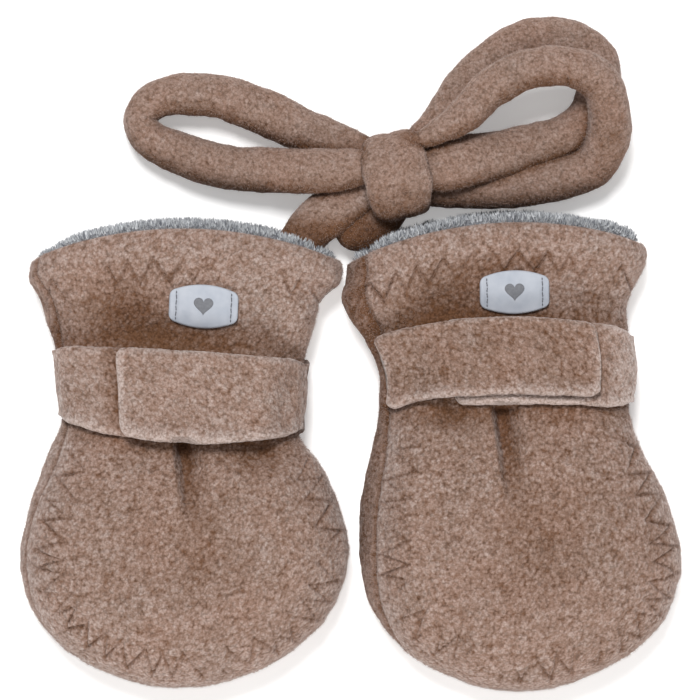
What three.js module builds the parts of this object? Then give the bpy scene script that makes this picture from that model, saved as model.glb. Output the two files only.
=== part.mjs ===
// A pair of baby mittens laid flat on a table, palm side up, joined by a fleece cord that is
// folded into loops and bound with two turns of itself.
// Millimetres, +Z up. The table is z = 0, +Y runs from the finger tips to the cuffs, and the
// origin is under the middle of the pair, leaving the cord out.
//
// Each mitten is two fleece panels seamed round the edge, a plush lining that shows at the
// mouth, a wrist strap in two parts sewn into the side seams, and a small label.
// Every piece is worked out from one form, skin(), which gives a point of the outer surface
// moved in by a depth: panels, lining, strap and label are that form at different depths.

import * as THREE from "three";

// ---- driving dimensions ----
const FLEECE = 2.4; // outer cloth
const PLUSH = 2.4; // lining cloth, with its pile pressed flat
const LINING_GAP = 0.6; // air between the outer cloth and the lining
const STRIP_GAP = 0.7; // air under the strap and the label
const PLY_GAP = 0.3; // air between two plies, and at a seam
const SEAM_LIFT = 0.2; // each panel's edge stands this far off the seam plane
const SEAM_AIR = 0.012; // the same, as a share of the way across, where the strap is joined
const STRAP = 2.8; // folded fleece strip
const LABEL = 0.8; // label tape
const LINING_REACH = 3.4; // how far the lining stands out of the mouth
const CORD_DIAMETER = 12;
const PINCHED_DIAMETER = 7.6; // of the short end, flattened as it leaves the knot
const BACK_ROUND = 14; // width over which the back rolls up to the side seam
const DOME = 1.6; // extra rise of the front along the middle
const MITTEN_SPACING = 101; // between the two mittens' own axes

// ---- what each mitten's sections say ----
// A section runs across the mitten from the left edge to the right edge, bowed along its middle.
// top and under are the heights of the front and of the back, seam is the height of the side
// seam, round is the width over which the front rolls down to the seam, and tuck is how far
// the left seam lies in on the front. X is from the mitten's own axis.
const SECTION_COLUMNS = "leftX leftY rightX rightY bow top under seam round tuck".split(" ");
const HEM = 0;
const STRAP_TOP = 4;
const STRAP_FOOT = 6;
const TIP = 12;

const LEFT_SECTIONS = [
  [-45.4, 58.2, 48.2, 57.6, 9.2, 20.6, 0.0, 9.0, 13, 2.6], // hem
  [-46.2, 52.0, 47.6, 51.2, 8.0, 21.2, 0.0, 9.5, 14, 3.2],
  [-42.6, 46.0, 42.0, 46.0, 6.0, 20.6, 0.0, 9.8, 15, 3.6],
  [-40.2, 39.0, 39.6, 37.6, 3.4, 20.0, 1.4, 10.2, 16, 3.2],
  [-38.0, 32.6, 37.0, 28.4, 0.2, 19.6, 3.7, 10.6, 17, 2.0], // top of the strap
  [-36.2, 21.4, 36.0, 17.2, -1.6, 19.8, 3.7, 10.8, 17, 1.4], // wrist
  [-35.8, 9.6, 35.4, 5.4, -4.0, 21.0, 3.7, 11.0, 18, 1.6], // foot of the strap
  [-40.2, -1.4, 41.4, -3.6, -6.4, 25.4, 0.4, 11.0, 21, 3.0],
  [-45.4, -15.0, 47.2, -16.0, -8.4, 28.6, -0.8, 11.0, 24, 2.2],
  [-48.5, -29.0, 49.9, -29.0, -9.8, 29.8, -0.8, 11.0, 25, 2.2],
  [-47.0, -41.0, 47.6, -40.6, -10.8, 29.4, -0.8, 10.6, 25, 1.8],
  [-42.2, -51.0, 41.9, -51.2, -11.4, 28.6, -0.8, 10.2, 24, 1.0],
  [-35.0, -59.0, 33.6, -59.2, -11.2, 28.0, -0.8, 10.0, 24, 0.0], // tip
];
const RIGHT_SECTIONS = [
  [-51.6, 57.2, 38.4, 62.6, 8.9, 20.6, 0.0, 9.0, 13, 5.0], // hem
  [-51.6, 51.6, 38.4, 57.4, 8.4, 21.2, 0.0, 9.5, 14, 6.0],
  [-52.6, 46.2, 34.8, 50.2, 7.4, 20.6, 0.0, 9.8, 15, 6.4],
  [-50.6, 40.0, 32.6, 43.6, 6.4, 20.0, 1.4, 10.2, 16, 6.2],
  [-46.4, 34.4, 33.0, 36.4, 5.4, 19.6, 3.7, 10.6, 17, 5.4], // top of the strap
  [-41.6, 23.4, 34.0, 25.0, 3.8, 19.8, 3.7, 10.8, 17, 3.0], // wrist
  [-41.6, 12.6, 33.4, 13.4, 1.8, 21.0, 3.7, 11.0, 18, 2.6], // foot of the strap
  [-44.0, 0.6, 36.6, 1.6, -3.0, 25.4, 0.4, 11.0, 21, 4.0],
  [-47.0, -14.0, 44.6, -14.6, -7.4, 28.6, -0.8, 11.0, 24, 4.6],
  [-47.6, -28.0, 48.5, -31.0, -10.2, 29.8, -0.8, 11.0, 25, 4.6],
  [-46.2, -41.0, 46.8, -42.0, -12.0, 29.4, -0.8, 10.6, 25, 4.2],
  [-41.2, -51.0, 42.6, -51.6, -12.6, 28.6, -0.8, 10.2, 24, 2.6],
  [-34.2, -59.0, 34.4, -59.2, -12.4, 28.0, -0.8, 10.0, 24, 0.0], // tip
];

// The tuck below the strap: its top and foot on the front, and its depth at the top.
const TUCK_WIDTH = 8.5;
const TUCK_STEEP = 1.2;
const TUCK_DEPTH = 6.4;
const MITTENS = [
  {
    name: "left",
    axisX: -MITTEN_SPACING / 2,
    sections: LEFT_SECTIONS,
    tuckTop: [-0.4, 3.0],
    tuckFoot: [3.5, -20.0],
    label: { x: 7.0, y: 43.8, turn: -3 },
    flapSide: 1, // the flap comes round the right edge
    flapEnd: -18.0, // x of the flap's free end
    tabEnd: 21.0, // x of the band's end, under the flap
    flapFoot: STRAP_FOOT,
    flapRoot: 0, // how far in from the edge the flap is sewn on
    bandEnd: 3 - SEAM_AIR, // where the band ends, round the back
  },
  {
    name: "right",
    axisX: MITTEN_SPACING / 2,
    sections: RIGHT_SECTIONS,
    tuckTop: [-6.4, 12.5],
    tuckFoot: [-2.5, -16.0],
    label: { x: -1.6, y: 48.1, turn: 1 },
    flapSide: -1,
    flapEnd: 22.2,
    tabEnd: -19.6,
    flapFoot: STRAP_FOOT - 0.2,
    flapRoot: 3.6,
    bandEnd: 2.9,
  },
];
const LABEL_LENGTH = 20.6;
const LABEL_HEIGHT = 13.0; // at the middle of its bowed sides
const LABEL_END = 8.4; // height of its straight ends

// ---- the cord: x, y and height of each strand's centre line ----
const FLOOR = 6.75; // of a strand on the table
const KNOT = { x: 13.9, y: 83.2, width: 20, length: 26, height: 25.2, lean: 8 };
const CORD_STRANDS = {
  loop_left: [
    [2.0, 92.6, FLOOR],
    [-10.2, 96.2, FLOOR],
    [-20.3, 100.2, FLOOR],
    [-27.4, 103.3, FLOOR],
    [-37.5, 106.9, FLOOR],
    [-47.7, 107.9, FLOOR],
    [-56, 107, FLOOR],
    [-62.4, 101.6, FLOOR],
    [-60.2, 94.6, FLOOR],
    [-51.7, 90.4, FLOOR],
    [-41.6, 86.8, FLOOR],
    [-31.4, 85.3, 8],
    [-18, 84.4, 11.6],
    [-6, 84.4, 16.4],
    [1.7, 85.4, 18.4],
  ],
  loop_low: [
    [25.6, 79.4, FLOOR],
    [38, 80, FLOOR],
    [49, 80.2, FLOOR],
    [62, 82.4, FLOOR],
    [73, 86.2, 8.4],
    [77.6, 94, 15],
    [77.8, 103, 19.2],
    [74.8, 110.2, 19.4],
    [67.5, 114.8, 19.4],
    [59, 115.3, 19.4],
    [50.5, 113.6, 19.4],
    [42.1, 108.9, 19.4],
    [34, 100.9, 19.8],
    [30, 98.9, 20.6],
  ],
  loop_high: [
    [26.6, 97.6, FLOOR],
    [28.9, 100.9, FLOOR],
    [34.4, 109.2, FLOOR],
    [42.2, 117.1, FLOOR],
    [50.6, 122.8, FLOOR],
    [58.8, 124.8, FLOOR],
    [67.4, 123.2, FLOOR],
    [73.4, 118, FLOOR],
    [75, 112.4, FLOOR],
    [73.4, 107, FLOOR],
    [71.4, 102, FLOOR],
    [68, 98.8, FLOOR],
    [62.5, 95.8, FLOOR],
    [55, 94.2, 8],
    [45, 91.2, 12.6],
    [34, 87.7, 17],
    [25.8, 85.8, 17.8],
  ],
  tail_left: [
    [2.4, 77.2, 8.5],
    [-2.6, 74.8, 9],
    [-8.6, 70.5, 10],
    [-12.6, 66.8, 10.6],
  ],
  tail_right: [
    [8.3, 68.2, 7.8],
    [7.4, 67.1, 8.1],
  ],
};
const CORD_SIDES = 10;
const CORD_STEP = 9;

// ---- how finely the cloth is faceted ----
const COLUMNS = 8; // on each side of the middle
const TURNED_COLUMNS = 4; // of those, how many are shifted to begin at the left seam
const LINING_FOOT = 3.1; // the lining ends by this section, above the strap

// ---- small helpers ----
const mix = (a, b, t) => a + (b - a) * t;
const clamp = (x, low, high) => Math.min(high, Math.max(low, x));
const ease = (x) => x * x * (3 - 2 * x);
const steps = (from, to, count) =>
  Array.from({ length: count + 1 }, (_, i) => mix(from, to, i / count));

// A smooth curve through a column of the table, carried on straight past the hem.
function column(sections, index, s) {
  const last = sections.length - 1;
  if (s < 0) return sections[0][index] + s * (sections[1][index] - sections[0][index]);
  const i = Math.min(Math.floor(s), last - 1);
  const t = s - i;
  const p1 = sections[i][index];
  const p2 = sections[i + 1][index];
  const p0 = i > 0 ? sections[i - 1][index] : 2 * p1 - p2;
  const p3 = i + 2 <= last ? sections[i + 2][index] : 2 * p2 - p1;
  const linear = p2 - p0;
  const square = 2 * p0 - 5 * p1 + 4 * p2 - p3;
  const cube = 3 * p1 - p0 - 3 * p2 + p3;
  return p1 + (linear * t + square * t * t + cube * t * t * t) / 2;
}

// One section's sizes, by name.
function sectionAt(mitten, s) {
  const row = {};
  SECTION_COLUMNS.forEach((name, index) => {
    row[name] = column(mitten.sections, index, s);
  });
  return row;
}

// The plan point of a section: u runs from -1 at the left edge to 1 at the right edge.
function planPoint(row, u) {
  const t = (u + 1) / 2;
  const x = mix(row.leftX, row.rightX, t);
  const y = mix(row.leftY, row.rightY, t) + row.bow * (1 - u * u);
  return new THREE.Vector2(x, y);
}

// The line that the side and tip seams follow, as closely spaced points, the mitten on its left.
function outlineOf(mitten) {
  const sides = steps(-1, TIP, (TIP + 1) * 12);
  const left = sides.map((s) => planPoint(sectionAt(mitten, s), -1));
  const tip = steps(-1, 1, 96).map((u) => planPoint(sectionAt(mitten, TIP), u));
  const right = sides.map((s) => planPoint(sectionAt(mitten, s), 1)).reverse();
  return [...left, ...tip.slice(1, -1), ...right];
}

// How far a plan point is from the outline, and the direction away from it.
function fromOutline(outline, point) {
  let distance = Infinity;
  const away = new THREE.Vector2();
  for (let i = 0; i + 1 < outline.length; i++) {
    const a = outline[i];
    const along = outline[i + 1].clone().sub(a);
    const t = clamp(point.clone().sub(a).dot(along) / along.lengthSq(), 0, 1);
    const nearest = a.clone().addScaledVector(along, t);
    const found = nearest.distanceTo(point);
    if (found < distance) {
      distance = found;
      away.copy(point).sub(nearest);
      if (found < 0.1) away.set(-along.y, along.x);
    }
  }
  return { distance, away: away.normalize() };
}

// The tuck in the front: a lap that drops steeply on its right side and fades out at its foot.
function tuckDrop(mitten, x, y) {
  const [topX, topY] = mitten.tuckTop;
  const [footX, footY] = mitten.tuckFoot;
  const along = (topY - y) / (topY - footY);
  const across = x - mix(topX, footX, clamp(along, 0, 1));
  const fade = clamp(1 - along, 0, 1) * clamp(1 + along / 0.12, 0, 1);
  const side = across < 0 ? 1 + across / TUCK_STEEP : 1 - across / TUCK_WIDTH;
  return TUCK_DEPTH * ease(clamp(side, 0, 1)) * Math.min(1, fade * 1.3);
}

// A point of the mitten's outer surface, moved in by depth (out where depth is negative).
// w is the place around the section: -1 to 1 across the front from the left edge to the right
// edge, and on past either edge across the back. s is the section.
function skin(mitten, w, s, depth) {
  const front = Math.abs(w) <= 1;
  const u = front ? w : Math.sign(w) * (2 - Math.abs(w));
  const row = sectionAt(mitten, s);
  const plan = planPoint(row, u);
  const edge = fromOutline(mitten.outline, plan);
  const width = front ? row.round : BACK_ROUND;
  const inward = 1 - Math.min(1, edge.distance / width);
  const rise = Math.sqrt(1 - inward * inward);
  const level = front ? row.top + DOME * (1 - u * u) - tuckDrop(mitten, plan.x, plan.y) : row.under;
  return new THREE.Vector3(
    mitten.axisX + plan.x + edge.away.x * inward * depth,
    plan.y + edge.away.y * inward * depth,
    mix(row.seam, level, rise) - (front ? 1 : -1) * rise * depth,
  );
}

// The place across, and the section, of a plan point on the front.
function locate(mitten, x, y) {
  let low = -1;
  let high = TIP;
  let u = 0;
  for (let i = 0; i < 40; i++) {
    const s = (low + high) / 2;
    const row = sectionAt(mitten, s);
    u = (2 * (x - row.leftX)) / (row.rightX - row.leftX) - 1;
    if (planPoint(row, u).y > y) low = s;
    else high = s;
  }
  return { u, s: low };
}

// Where the left seam lies across the front, moved by a distance across.
function leftSeam(mitten, s, offset) {
  const row = sectionAt(mitten, s);
  return -1 + (2 * (Math.max(0, row.tuck) + offset)) / (row.rightX - row.leftX);
}

// Places across from edge to edge, close together at the edges where the cloth turns.
const acrossPlaces = (count) => steps(-1, 1, 2 * count).map((k) => Math.sin((k * Math.PI) / 2));

// Sections from the hem to the tip, on the strap's edges, and close together at the tip.
const STRAP_ROWS = steps(STRAP_TOP, STRAP_FOOT, 3);
const crowded = (k) => 0.72 * Math.sin((k * Math.PI) / 2) + 0.28 * k;
const HAND_ROWS = steps(0, 1, 10).map((k) => mix(STRAP_FOOT, TIP, crowded(k)));
const PANEL_ROWS = [...steps(HEM, STRAP_TOP, 4), ...STRAP_ROWS.slice(1), ...HAND_ROWS.slice(1)];

// ---- closed solids from grids ----
// outer and inner are grids of points of the same size, outer[row][column].
function shell(outer, inner) {
  const rows = outer.length;
  const columns = outer[0].length;
  const points = [...outer.flat(), ...inner.flat()];
  const at = (layer, j, i) => (layer * rows + j) * columns + i;
  const triangles = [];
  const quad = (a, b, c, d) => triangles.push([a, b, c], [a, c, d]);
  for (let j = 0; j + 1 < rows; j++) {
    for (let i = 0; i + 1 < columns; i++) {
      quad(at(0, j, i), at(0, j, i + 1), at(0, j + 1, i + 1), at(0, j + 1, i));
      quad(at(1, j, i), at(1, j + 1, i), at(1, j + 1, i + 1), at(1, j, i + 1));
    }
  }
  const top = rows - 1;
  const end = columns - 1;
  for (let i = 0; i < end; i++) {
    quad(at(0, 0, i + 1), at(0, 0, i), at(1, 0, i), at(1, 0, i + 1));
    quad(at(0, top, i), at(0, top, i + 1), at(1, top, i + 1), at(1, top, i));
  }
  for (let j = 0; j < top; j++) {
    quad(at(0, j, 0), at(0, j + 1, 0), at(1, j + 1, 0), at(1, j, 0));
    quad(at(0, j + 1, end), at(0, j, end), at(1, j, end), at(1, j + 1, end));
  }
  return facingOut(points, triangles);
}

// A geometry of those triangles, all turned round if they face in.
function facingOut(points, triangles) {
  let volume = 0;
  for (const [a, b, c] of triangles) {
    volume += points[a].dot(points[b].clone().cross(points[c]));
  }
  const index = triangles.flatMap(([a, b, c]) => (volume < 0 ? [a, c, b] : [a, b, c]));
  const positions = points.flatMap((p) => p.toArray());
  const geometry = new THREE.BufferGeometry();
  geometry.setAttribute("position", new THREE.Float32BufferAttribute(positions, 3));
  geometry.setIndex(index);
  geometry.computeVertexNormals();
  return geometry;
}

// ---- the cloth pieces ----
// Every point of a panel is lifted (or let down to the table) to leave air at the seam.
function panel(mitten, rows, placesAt, outerDepth, thickness, lift) {
  const grid = (depth) =>
    rows.map((s) =>
      placesAt(s).map((w) => {
        const point = skin(mitten, w, s, depth);
        point.z = Math.max(depth, point.z + lift);
        return point;
      }),
    );
  return shell(grid(outerDepth), grid(outerDepth + thickness));
}

// Places across the front from the left seam, which lies in on the front, to the right edge.
function frontPlaces(mitten, s, gap) {
  const places = acrossPlaces(COLUMNS);
  const turned = steps(leftSeam(mitten, s, gap), places[TURNED_COLUMNS], TURNED_COLUMNS);
  return [...turned, ...places.slice(TURNED_COLUMNS + 1)];
}

// Places across the back from the right edge to the left edge.
const backPlaces = () => acrossPlaces(COLUMNS).map((u) => u - 2);

// The front panel, from the left seam to the right seam.
function frontPanel(mitten) {
  const placesAt = (s) => frontPlaces(mitten, s, PLY_GAP);
  return panel(mitten, PANEL_ROWS, placesAt, 0, FLEECE, SEAM_LIFT);
}

// The back panel, from the right seam under the hand, up over the left edge to the left seam.
function backPanel(mitten) {
  const placesAt = (s) => {
    const seam = leftSeam(mitten, s, 0);
    return [...backPlaces(), mix(-1, seam, 0.5), seam];
  };
  return panel(mitten, PANEL_ROWS, placesAt, 0, FLEECE, -SEAM_LIFT);
}

// Half of the lining, standing a little out of the mouth and ending above the strap.
function lining(mitten, front) {
  const hemStep = mitten.sections[0][1] - mitten.sections[1][1];
  const rows = [-LINING_REACH / hemStep, ...PANEL_ROWS.filter((s) => s < LINING_FOOT)];
  const placesAt = (s) => (front ? [-1, ...frontPlaces(mitten, s, PLY_GAP)] : backPlaces());
  const lift = front ? SEAM_LIFT : -SEAM_LIFT;
  return panel(mitten, rows, placesAt, FLEECE + LINING_GAP, PLUSH, lift);
}

// A strip lying round the wrist from one end to the other, with any other places named, from
// the top of the strap to the section foot.
// raised(w) is how far it is lifted to pass over another strip.
function strip(mitten, ends, foot, raised) {
  const front = acrossPlaces(COLUMNS);
  const around = [...front, ...front.map((u) => -2 - u), ...front.map((u) => 2 - u)];
  const low = Math.min(...ends);
  const high = Math.max(...ends);
  const inside = around.filter((w) => w > low + 0.01 && w < high - 0.01);
  const places = [...new Set([...inside, ...ends])].sort((a, b) => a - b);
  const rows = [...STRAP_ROWS.filter((s) => s < foot - 0.1), foot];
  const grid = (depth) =>
    rows.map((s) =>
      places.map((w) => {
        const point = skin(mitten, w, s, depth - STRIP_GAP - raised(w));
        point.z = Math.max(STRAP + depth, point.z);
        return point;
      }),
    );
  return shell(grid(-STRAP), grid(0));
}

// The place across the front of an x, half way down the strap.
function strapPlace(mitten, x) {
  const row = sectionAt(mitten, (STRAP_TOP + STRAP_FOOT) / 2);
  return (2 * (x - row.leftX)) / (row.rightX - row.leftX) - 1;
}

// The band starts under the flap, goes round the outer edge and across the back to the inner
// edge, where the flap is sewn on.
function strapBand(mitten) {
  const tab = strapPlace(mitten, mitten.tabEnd);
  const end = -mitten.flapSide * mitten.bandEnd;
  return strip(mitten, [tab, end], STRAP_FOOT, () => 0);
}

// The flap comes up from the inner edge and lies over the band's end.
function strapFlap(mitten) {
  const side = mitten.flapSide;
  const end = strapPlace(mitten, mitten.flapEnd);
  const risen = strapPlace(mitten, mitten.tabEnd) + side * 0.05;
  const raised = (w) => (STRAP + STRIP_GAP) * ease(clamp(1 - ((w - risen) * side) / 0.25, 0, 1));
  const wrist = sectionAt(mitten, (STRAP_TOP + STRAP_FOOT) / 2);
  const root = side * (1 - (2 * mitten.flapRoot) / (wrist.rightX - wrist.leftX));
  return strip(mitten, [end, risen, root], mitten.flapFoot, raised);
}

// The label, a barrel-shaped tape on the front.
function label(mitten) {
  const turn = THREE.MathUtils.degToRad(mitten.label.turn);
  const centre = new THREE.Vector2(mitten.label.x, mitten.label.y);
  const grid = (depth) =>
    steps(1, -1, 4).map((v) =>
      steps(-1, 1, 8).map((h) => {
        const halfHeight = mix(LABEL_END, LABEL_HEIGHT, 1 - h * h) / 2;
        const offset = new THREE.Vector2((h * LABEL_LENGTH) / 2, v * halfHeight);
        const plan = offset.rotateAround(new THREE.Vector2(), turn).add(centre);
        const place = locate(mitten, plan.x, plan.y);
        return skin(mitten, place.u, place.s, depth - STRIP_GAP);
      }),
    );
  return shell(grid(-LABEL), grid(0));
}

// ---- the cord ----
function strand(points, diameter) {
  const path = new THREE.CatmullRomCurve3(points.map((p) => new THREE.Vector3(...p)));
  const radius = diameter / 2;
  const rim = steps(0, 2 * Math.PI, CORD_SIDES).slice(0, -1);
  const corners = rim.map((a) => new THREE.Vector2(radius * Math.cos(a), radius * Math.sin(a)));
  return new THREE.ExtrudeGeometry(new THREE.Shape(corners), {
    steps: Math.max(2, Math.round(path.getLength() / CORD_STEP)),
    extrudePath: path,
    bevelEnabled: false,
  });
}

// The wrap that binds the strands: two turns side by side, as one solid.
function knot() {
  const stations = steps(-1, 1, 12);
  const around = steps(0, 2 * Math.PI, 20).slice(0, -1);
  const points = [];
  for (const h of stations) {
    const turnRound = Math.sqrt(Math.max(0, 1 - (2 * Math.abs(h) - 1) ** 2));
    const size = 0.8 + 0.2 * turnRound;
    for (const a of around) {
      const y = (KNOT.length / 2) * size * Math.cos(a);
      const z = (KNOT.height / 2) * (1 + size * Math.sin(a)) + 0.1;
      points.push(new THREE.Vector3((KNOT.width / 2) * h, y, z));
    }
  }
  const count = around.length;
  const last = stations.length - 1;
  const at = (j, i) => j * count + (i % count);
  const triangles = [];
  for (let i = 0; i < count; i++) {
    for (let j = 0; j < last; j++) {
      triangles.push([at(j, i), at(j, i + 1), at(j + 1, i + 1)]);
      triangles.push([at(j, i), at(j + 1, i + 1), at(j + 1, i)]);
    }
    if (i > 1) {
      triangles.push([at(0, 0), at(0, i), at(0, i - 1)]);
      triangles.push([at(last, 0), at(last, i - 1), at(last, i)]);
    }
  }
  const lean = THREE.MathUtils.degToRad(KNOT.lean);
  const axis = new THREE.Vector3(0, 0, 1);
  const placed = points.map((p) => p.applyAxisAngle(axis, lean).add(new THREE.Vector3(KNOT.x, KNOT.y, 0)));
  return facingOut(placed, triangles);
}

// ---- materials ----
const fleece = new THREE.MeshStandardMaterial({ color: 0x977f73, roughness: 0.96, metalness: 0 });
const plush = new THREE.MeshStandardMaterial({ color: 0x8e8f94, roughness: 0.98, metalness: 0 });
const tape = new THREE.MeshStandardMaterial({ color: 0xd2d5dc, roughness: 0.7, metalness: 0 });

// ---- the pair ----
const group = new THREE.Group();

function addPiece(name, geometry, material) {
  const mesh = new THREE.Mesh(geometry, material);
  mesh.name = name;
  group.add(mesh);
}

for (const mitten of MITTENS) {
  mitten.outline = outlineOf(mitten);
  addPiece(`${mitten.name}_front_panel`, frontPanel(mitten), fleece);
  addPiece(`${mitten.name}_back_panel`, backPanel(mitten), fleece);
  addPiece(`${mitten.name}_lining_front`, lining(mitten, true), plush);
  addPiece(`${mitten.name}_lining_back`, lining(mitten, false), plush);
  addPiece(`${mitten.name}_strap_band`, strapBand(mitten), fleece);
  addPiece(`${mitten.name}_strap_flap`, strapFlap(mitten), fleece);
  addPiece(`${mitten.name}_label`, label(mitten), tape);
}
for (const [name, points] of Object.entries(CORD_STRANDS)) {
  const diameter = name === "tail_right" ? PINCHED_DIAMETER : CORD_DIAMETER;
  addPiece(`cord_${name}`, strand(points, diameter), fleece);
}
addPiece("cord_knot", knot(), fleece);

export default group;
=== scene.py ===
# A pair of fleece baby mittens lying palm up on a pale table, joined by a fleece cord that is
# folded into loops and bound with two turns of itself. Lengths below are in millimetres and
# are turned into metres where a mesh is made.
import math
import bpy
import numpy as np
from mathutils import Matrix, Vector


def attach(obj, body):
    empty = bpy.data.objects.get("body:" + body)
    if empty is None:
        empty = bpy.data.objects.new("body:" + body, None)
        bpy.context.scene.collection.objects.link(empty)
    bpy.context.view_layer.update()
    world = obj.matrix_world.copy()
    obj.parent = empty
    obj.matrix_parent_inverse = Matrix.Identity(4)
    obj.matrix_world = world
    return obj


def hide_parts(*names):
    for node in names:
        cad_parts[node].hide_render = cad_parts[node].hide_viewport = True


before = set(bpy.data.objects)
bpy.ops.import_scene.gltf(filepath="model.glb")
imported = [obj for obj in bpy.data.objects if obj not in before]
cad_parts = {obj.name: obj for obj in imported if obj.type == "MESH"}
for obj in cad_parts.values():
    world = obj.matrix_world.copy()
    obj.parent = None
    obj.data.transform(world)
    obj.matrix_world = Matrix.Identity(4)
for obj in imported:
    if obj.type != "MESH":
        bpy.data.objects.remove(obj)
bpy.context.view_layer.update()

MM = 0.001
FLEECE = 2.4  # thickness of the fleece
PLUSH = 2.4  # thickness of the lining
LINING_GAP = 0.6  # between fleece and lining
STRIP_GAP = 0.7  # between what is laid on the mitten and its cloth
STRAP = 2.8  # thickness of the folded strap
STRAP_HALF = 12.0  # half its width
GROUND = 0.05  # lowest place of any cloth over the table
BACK_ROUND = 14.0  # width over which the back rolls up to the side seam
DOME = 1.6  # how much higher the front is in its middle than the table below says
TUCK_WIDTH, TUCK_STEEP, TUCK_DEPTH = 8.5, 2.6, 6.4
STRAP_TOP, STRAP_FOOT, TIP = 4.0, 6.0, 12.0  # sections under the strap's edges, and at the tip
HEM_LIMIT, SEAM_POINTS = -1.0, 170  # where the seam line starts beyond the hem, and its points

# Sections across each mitten, from the hem to the tip: ends of the section, its bow, heights
# of the front, back and side seam, the width over which the front rolls down, and how far the
# left seam lies in on the front. X is from the mitten's own axis.
COLUMNS = ["left_x", "left_y", "right_x", "right_y", "bow", "top", "under", "seam", "round", "tuck"]
LEFT_SECTIONS = [
    [-45.4, 58.2, 48.2, 57.6, 9.2, 20.6, 0.0, 9.0, 13, 2.6],
    [-46.2, 52.0, 47.6, 51.2, 8.0, 21.2, 0.0, 9.5, 14, 3.2],
    [-42.6, 46.0, 42.0, 46.0, 6.0, 20.6, 0.0, 9.8, 15, 3.6],
    [-40.2, 39.0, 39.6, 37.6, 3.4, 20.0, 1.4, 10.2, 16, 3.2],
    [-38.0, 32.6, 37.0, 28.4, 0.2, 19.6, 3.7, 10.6, 17, 2.0],
    [-36.2, 21.4, 36.0, 17.2, -1.6, 19.8, 3.7, 10.8, 17, 1.4],
    [-35.8, 9.6, 35.4, 5.4, -4.0, 21.0, 3.7, 11.0, 18, 1.6],
    [-40.2, -1.4, 41.4, -3.6, -6.4, 25.4, 0.4, 11.0, 21, 3.0],
    [-45.4, -15.0, 47.2, -16.0, -8.4, 28.6, -0.8, 11.0, 24, 2.2],
    [-48.5, -29.0, 49.9, -29.0, -9.8, 29.8, -0.8, 11.0, 25, 2.2],
    [-47.0, -41.0, 47.6, -40.6, -10.8, 29.4, -0.8, 10.6, 25, 1.8],
    [-42.2, -51.0, 41.9, -51.2, -11.4, 28.6, -0.8, 10.2, 24, 1.0],
    [-35.0, -59.0, 33.6, -59.2, -11.2, 28.0, -0.8, 10.0, 24, 0.0],
]
RIGHT_SECTIONS = [
    [-51.6, 57.2, 38.4, 62.6, 8.9, 20.6, 0.0, 9.0, 13, 5.0],
    [-51.6, 51.6, 38.4, 57.4, 8.4, 21.2, 0.0, 9.5, 14, 6.0],
    [-52.6, 46.2, 34.8, 50.2, 7.4, 20.6, 0.0, 9.8, 15, 6.4],
    [-50.6, 40.0, 32.6, 43.6, 6.4, 20.0, 1.4, 10.2, 16, 6.2],
    [-46.4, 34.4, 33.0, 36.4, 5.4, 19.6, 3.7, 10.6, 17, 5.4],
    [-41.6, 23.4, 34.0, 25.0, 3.8, 19.8, 3.7, 10.8, 17, 3.0],
    [-41.6, 12.6, 33.4, 13.4, 1.8, 21.0, 3.7, 11.0, 18, 2.6],
    [-44.0, 0.6, 36.6, 1.6, -3.0, 25.4, 0.4, 11.0, 21, 4.0],
    [-47.0, -14.0, 44.6, -14.6, -7.4, 28.6, -0.8, 11.0, 24, 4.6],
    [-47.6, -28.0, 48.5, -31.0, -10.2, 29.8, -0.8, 11.0, 25, 4.6],
    [-46.2, -41.0, 46.8, -42.0, -12.0, 29.4, -0.8, 10.6, 25, 4.2],
    [-41.2, -51.0, 42.6, -51.6, -12.6, 28.6, -0.8, 10.2, 24, 2.6],
    [-34.2, -59.0, 34.4, -59.2, -12.4, 28.0, -0.8, 10.0, 24, 0.0],
]

# Hollows pressed into the cloth: x, y from the mitten's axis, half sizes, turn, depth.
LEFT_DENTS = [
    [-16, 42, 18, 12, -10, 2.6],
    [2, 35, 26, 6, 0, 2.0],
    [24, -0.5, 8, 5, 8, 3.0],
    [6, -28, 13, 18, 0, 1.5],
    [-38, 36, 4, 6, -20, 1.4],
]
RIGHT_DENTS = [
    [-24, 43, 20, 12, 12, 2.6],
    [-4, 55, 17, 6, 8, 1.8],
    [-6, 39, 20, 6, 4, 1.4],
    [24, 47, 10, 8, 60, 1.2],
    [-20, 11, 7, 4, 0, 2.4],
    [7, -24, 14, 19, -15, 1.8],
]


class Mitten:
    """The sizes of one mitten, with the line of its side and tip seams."""

    def __init__(self, name, axis, sections, tuck_top, tuck_foot, dents, label, flap):
        self.name = name
        # Painted shade on the back's strip along the left side, and how much darker the hand is, all over
        # and in its middle.
        self.left_shade = 0.13 if name == "left" else 0.34
        self.hand_shade = (0.0, 0.08) if name == "left" else (0.05, 0.05)
        self.axis = axis
        self.sections = np.array(sections, dtype=float)
        self.tuck_top, self.tuck_foot = tuck_top, tuck_foot
        self.dents = dents
        self.label = label
        self.flap_side, self.flap_end, self.tab_end, self.flap_foot = flap
        s = np.linspace(HEM_LIMIT, TIP, SEAM_POINTS)
        u = np.linspace(-1, 1, 90)
        left = plan_point(self, np.full_like(s, -1.0), s)
        tip = plan_point(self, u, np.full_like(u, TIP))
        right = plan_point(self, np.full_like(s, 1.0), s)
        line = np.concatenate([np.stack(left, 1), np.stack(tip, 1)[1:-1], np.stack(right, 1)[::-1]])
        self.line = line
        self.run = np.concatenate([[0], np.cumsum(np.hypot(*np.diff(line, axis=0).T))])


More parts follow.
